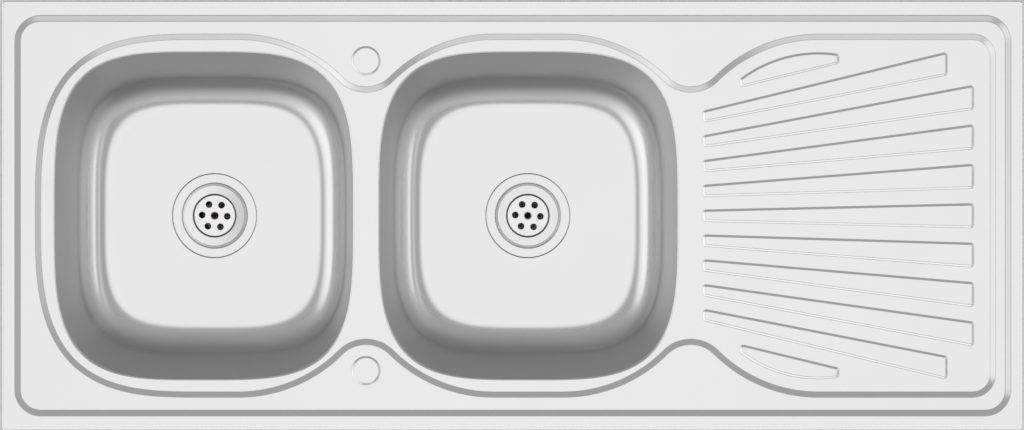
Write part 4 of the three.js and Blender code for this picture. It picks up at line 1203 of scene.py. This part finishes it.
pad_half, pad_corner, pad_hole_r, pad_thickness = 90, 20, 57, 2.0
pad_z = floor_z - sheet - gap - pad_thickness / 2
for side, x in bowl_xs.items():
    hole = arc((0, 0), pad_hole_r, 0, 2 * math.pi, 96)[:-1]
    square = rounded_rectangle(pad_half, pad_half, pad_corner)
    pad = blank("pad", [square, hole], pad_thickness, 0.4, upright=False)
    made = weld(f"{side}_pad_felt", [pad], distance=0.001, move=shift(x, 0, pad_z))
    finish_piece(made, felt, "sink", [f"{side}_sound_pad"])

# %% [markdown]
# ## Fixing clips
#
# Eight clips hold the sink down. Each has a bracket folded from strip and welded under the deck, a
# riveted pin, a claw that rocks on the pin and a jack screw in the claw's tab. Turning the screw
# pushes its round tip against the bracket's shelf, so the claw swings out and bites the worktop's
# underside. The brackets and pins belong to the sink, so a tree sets them all out from one pair.
# The claws and screws move, so each is an object of its own.

# %% Fold one clip
clip_length, plate, strip_t, eye_r, eye_bore_r = 21.0, 1.5, 2.5, 4.4, 2.3
clip_top_z, pivot_out, pivot_drop = 1.7, 2, 13.7  # the deck's underside, and the pin from there
shelf_under, jack_out, jack_r, tab_drop = 5.3, 12, 2.5, 3


def bracket_mesh():
    """Shelf and two ears. Corners are (outwards, up from the deck's underside, fillet)."""
    shelf = [(3.5, -gap), (-3.5, -gap, 1.9), (-3.5, -3.8, 0.6), (-16.0, -3.8),
             (-16.0, -shelf_under), (-2.0, -shelf_under, 1.9), (-2.0, -1.8, 0.6), (3.5, -1.8)]
    ear = [(3.5, -0.35), (-3.4, -0.35), (-3.5, -3.85), (-16.0, -3.85), (-16.0, -5.3),
           (-2.4, -15.9, 2.5), (-0.2, -18.1, 2.5), (4.2, -18.1, 2.5), (6.4, -15.9, 2.5)]
    eye = [(pivot_out + x, z - pivot_drop)
           for x, z in arc((0, 0), eye_bore_r, 0, 2 * math.pi, 40)[:-1]]
    parts = [blank("shelf", [closed_outline(shelf)], clip_length)]
    for side in (-1, 1):
        cheek = blank("ear", [closed_outline(ear), eye], plate)
        cheek.transform(shift(y=side * (clip_length - plate) / 2))
        parts.append(cheek)
    return parts


def pin_mesh():
    """A pin with a riveted head at each end."""
    neck, end = clip_length / 2 + gap, clip_length / 2 + 1.5
    profile = eased([(0, -end), (2.7, -end, 0.5), (3.0, -neck, 0.1), (2.0, -neck), (2.0, neck),
                     (3.0, neck, 0.1), (2.7, end, 0.5), (0, end)], 4)
    mesh = turned("pin", profile, 40)
    mesh.transform(shift(pivot_out, 0, -pivot_drop) @ Matrix.Rotation(math.pi / 2, 4, "X"))
    return mesh


def claw_mesh():
    """The claw about its pin: an eye, a tab for the jack screw and a foot with three notches."""
    width, foot, foot_x, tab_x = clip_length - 2 * (plate + 1), -28.0, 23.3, -16.2
    tooth, notch_side, notch_spacing = 3.5, 2.55, 4
    half = strip_t / 2
    ring = arc((0, 0), eye_r, math.radians(170), math.radians(-50), 24)
    outline = [
        (half, -eye_r + 0.4), (half, foot + strip_t, 1.6), (foot_x - half, foot + strip_t, 0.8),
        (foot_x, foot + strip_t + tooth), (foot_x + half, foot + strip_t),
        (foot_x + half, foot, 0.6), (-half, foot, 3.6), (-half, -tab_drop - strip_t, 1.2),
        (tab_x, -tab_drop - strip_t, 0.5), (tab_x, -tab_drop, 0.5),
        (-math.sqrt(eye_r ** 2 - tab_drop ** 2), -tab_drop), *ring]
    eye = arc((0, 0), eye_bore_r, 0, 2 * math.pi, 40)[:-1]
    mesh = blank("claw", [closed_outline(outline[::-1]), eye], width, 0.3)
    drill = rod(jack_r + gap, -6, 6)
    drill.transform(shift(-jack_out, 0, -tab_drop))
    notches = []
    for i in (-1, 0, 1):
        notch = block((10, notch_side, notch_side))
        notch.transform(Matrix.Rotation(math.pi / 4, 4, "X"))
        notch.transform(shift(foot_x, i * notch_spacing, foot + strip_t + tooth))
        notches.append(notch)
    return cut_away(mesh, [drill, *notches])


def jack_mesh(tip):
    """A jack screw with a round tip, a thread and a cross recess in its head."""
    under = tip - 28.0
    foot = under - 3.0
    shank = run_of(jack_r, under + 1.0, tip - jack_r, 0.1)
    ball = arc((0, tip - jack_r), jack_r, 0, math.pi / 2, 8)[1:]
    head = eased([(0, foot), (3.4, foot, 0.5), (4.2, foot + 0.9, 0.9), (4.2, under, 0.25),
                  (jack_r, under, 0.2), (jack_r, under + 1.0)], 4)
    profile = [(0, foot), *head[1:], *shank[1:], *ball]
    mesh = threaded(turned("jack", profile, 32), zinc, 0.8, 0.42, 2.0, under + 0.6, tip - 2.4, 0.6)
    for recess_size in ((5.2, 1.0, 3.4), (1.0, 5.2, 3.4)):
        mesh = cut_away(mesh, [block(recess_size, (0, 0, foot))])
    mesh.transform(shift(x=-jack_out))
    return mesh


def clip_places_tree():
    """Sets one clip on each point, turned by the point's own angle."""
    tree, given, out = start_tree("clips set out round the rim", {
        "Clip": ("Object", None), "Material": ("Material", None),
    })
    turn = add_node(tree, "GeometryNodeInputNamedAttribute", {"data_type": "FLOAT", "Name": "turn"})
    about_z = add_node(tree, "ShaderNodeCombineXYZ", {"Z": turn})
    clip = add_node(tree, "GeometryNodeObjectInfo", {"Object": given["Clip"]})
    points = add_node(tree, "GeometryNodeMeshToPoints", {
        "Radius": 0.001, "Mesh": given["Geometry"],
    })
    placed = add_node(tree, "GeometryNodeInstanceOnPoints", {
        "Points": points, "Instance": clip.outputs["Geometry"], "Rotation": about_z,
    })
    return end_tree(tree, given, out, placed)


# Each place is (x, y, degrees from facing right), in the order of the CAD model's clip numbers.
clip_places = [(-380, -222.7, -90), (0, -222.7, -90), (380, -222.7, -90), (572.6, 0, 0),
               (380, 222.7, 90), (0, 222.7, 90), (-380, 222.7, 90), (-572.6, 0, 180)]
one_clip = weld("one_clip", [*bracket_mesh(), pin_mesh()], distance=0.0005)
places = carrier("clip places", [(x, y, clip_top_z) for x, y, _ in clip_places])
turns = places.data.attributes.new("turn", "FLOAT", "POINT")
turns.data.foreach_set("value", [math.radians(turn) for _, _, turn in clip_places])
all_clips = bake(places, clip_places_tree(), {"Clip": one_clip, "Material": zinc}, drop=[one_clip])
brackets = in_scene("clip_brackets_and_pins", all_clips)
clip_nodes = [f"clip_{n}_{part}" for n in range(1, 9) for part in ("bracket", "pin")]
finish_piece(brackets, zinc, "sink", clip_nodes)

# %% [markdown]
# ## Claws and jack screws
#
# A claw is drawn about its pin and then folded up by 35 degrees, which is how the sink leaves the
# works. The jack screw stands in the claw's tab, and its tip just clears the shelf, so its height
# follows from the fold. Both ride bodies of their own, so a pose can swing the claw and push the
# screw through the tab.

# %% Place the claws and the jack screws
folded = math.radians(35)
tip_gap = 0.6
rise_to_shelf = -shelf_under + pivot_drop - jack_r
jack_tip = rise_to_shelf / math.cos(folded) + jack_r - jack_out * math.tan(folded) - tip_gap
claw, jack = claw_mesh(), jack_mesh(jack_tip)
for number, (x, y, turn) in enumerate(clip_places, start=1):
    hinge = (shift(x, y, clip_top_z) @ Matrix.Rotation(math.radians(turn), 4, "Z")
             @ shift(pivot_out, 0, -pivot_drop) @ Matrix.Rotation(folded, 4, "Y"))
    claw_piece = weld(f"clip_{number}_claw_folded", [claw], distance=0.0005, move=hinge)
    finish_piece(claw_piece, zinc, f"claw_{number}", [f"clip_{number}_claw"])
    screw_piece = weld(f"clip_{number}_jack_screw", [jack], distance=0.0005, move=hinge)
    finish_piece(screw_piece, zinc, f"jack_{number}", [f"clip_{number}_screw"])

# %% [markdown]
# ## Floor
#
# The sink stands over a large sheet of matt paper, just below its outlets. Far from the sink the
# paper gives off a little light of its own, a painted glow seen only by the camera and by mirrors,
# so that it runs out into the pale backdrop. Near the sink the glow fades out, which keeps the
# sink's shadow and adds a painted shade on the paper round the sink.

# %% Lay the floor
paper_half, paper_z = 9000, -224
paper_corners = [(x * paper_half, y * paper_half, paper_z)
                 for x, y in ((-1, -1), (1, -1), (1, 1), (-1, 1))]
floor = carrier("floor", paper_corners, faces=[(0, 1, 2, 3)])
paper, tree, shader, place = start_material("paper_backdrop_matt")
light_path = add_node(tree, "ShaderNodeLightPath")
looked_at = light_path.outputs["Is Camera Ray"]
for ray in ("Is Glossy Ray", "Is Transmission Ray"):
    looked_at = add_node(tree, "ShaderNodeMath", {
        "operation": "MAXIMUM", 0: looked_at, 1: light_path.outputs[ray],
    })
# How far a point lies outside a box round the sink's middle, in metres.
distance = place
for operation, operand in (
    ("ABSOLUTE", (0.0, 0.0, 0.0)), ("SUBTRACT", (0.55, 0.2, 0.0)), ("MAXIMUM", (0.0, 0.0, 0.0)),
    ("MULTIPLY", (1.0, 1.0, 0.0)), ("LENGTH", (0.0, 0.0, 0.0)),
):
    distance = add_node(tree, "ShaderNodeVectorMath", {
        "operation": operation, 0: distance, 1: operand,
    })
# Painted glow: the paper glows more the further it lies from the sink, so round the sink it is a
# painted shade.
painted_glow_away_from_sink = add_node(tree, "ShaderNodeMapRange", {
    "interpolation_type": "SMOOTHSTEP", "From Min": 0.0, "From Max": 0.5, "To Max": 0.25,
    "Value": distance,
})
lift = add_node(tree, "ShaderNodeMath", {"operation": "MULTIPLY", 0: looked_at, 1: painted_glow_away_from_sink})
set_up(tree, shader, {
    "Base Color": linear("#f2f2f2"), "Roughness": 0.9, "Emission Color": linear("#ffffff"),
    "Emission Strength": lift,
})
floor.data.materials.append(paper)
print("floor:", paper.name, "at", paper_z, "mm")

# %% [markdown]
# ## Camera
#
# The photograph looks straight down from so far away that the bowls' floors are only a little
# smaller than their mouths. That sets the distance, and the focal length then fits the sink to the
# frame.

# %% Set the camera
camera_data = bpy.data.cameras.new("camera")
camera_data.sensor_width = 36
camera_data.lens = 123.5
camera = in_scene("camera", camera_data)
camera.location = (-0.0010, 0.0008, 4.13)
bpy.context.scene.camera = camera
print("camera:", camera_data.lens, "mm lens,", round(camera.location.z, 2), "m above the worktop")

# %% [markdown]
# ## Soft studio light
#
# Steel has no shading of its own: what the eye reads as shape is the softboxes that it mirrors. So
# the world is a dim room with softboxes painted on it by direction. One hangs overhead and lights
# all that is flat. The others stand beside the sink, and each lights the walls and fillets that
# lean towards it. A band is a softbox that ends again further down, which gives a bright line along
# a fillet. The world takes the brightest of them in each direction, so overlaps add nothing. None
# is brighter than 1.12, at which the flat deck stays just under white even where it mirrors one.

# %% Light the studio
world = bpy.data.worlds.new("soft studio")
bpy.context.scene.world = world
world.use_nodes = True
tree = world.node_tree
tree.nodes.clear()
direction = add_node(tree, "ShaderNodeTexCoord").outputs["Generated"]


def softbox(toward, start, full, brightness):
    """A light that fades in where the direction leans far enough towards the softbox."""
    lean = add_node(tree, "ShaderNodeVectorMath", {
        "operation": "DOT_PRODUCT", 0: direction, 1: toward,
    })
    return add_node(tree, "ShaderNodeMapRange", {
        "interpolation_type": "SMOOTHSTEP", "From Min": start, "From Max": full,
        "To Max": brightness, "Value": lean,
    })


def band(toward, start, full, fading, gone, brightness):
    """A softbox that ends again further down."""
    near = softbox(toward, start, full, brightness)
    far = softbox(toward, fading, gone, brightness)
    return add_node(tree, "ShaderNodeMath", {"operation": "SUBTRACT", 0: near, 1: far})


overhead, room = (0.0, 0.0, 1.0), 0.40
left, front, right = (-0.93, -0.37, 0.0), (0.0, -1.0, 0.0), (1.0, 0.0, 0.0)
brightest = softbox(overhead, 0.91, 0.97, 1.0)
for light in (
    softbox(left, 0.38, 0.56, 0.98),
    softbox(left, 0.60, 0.70, 1.12),
    band(front, 0.58, 0.63, 0.72, 0.78, 0.84),
    softbox(front, 0.86, 0.91, 1.12),
    band(right, 0.60, 0.65, 0.70, 0.75, 0.82),
    band(right, 0.80, 0.85, 0.945, 0.97, 1.12),
    room,
):
    brightest = add_node(tree, "ShaderNodeMath", {"operation": "MAXIMUM", 0: brightest, 1: light})
studio = add_node(tree, "ShaderNodeBackground", {"Strength": 1.0, "Color": brightest})
backdrop = add_node(tree, "ShaderNodeBackground", {"Color": linear("#eeeeee"), "Strength": 1.0})
seen = add_node(tree, "ShaderNodeLightPath").outputs["Is Camera Ray"]
either = add_node(tree, "ShaderNodeMixShader", {"Fac": seen, 1: studio, 2: backdrop})
add_node(tree, "ShaderNodeOutputWorld", {"Surface": either})
bpy.context.scene.view_settings.view_transform = "Standard"
print("world:", world.name, "with", len(tree.nodes), "nodes")
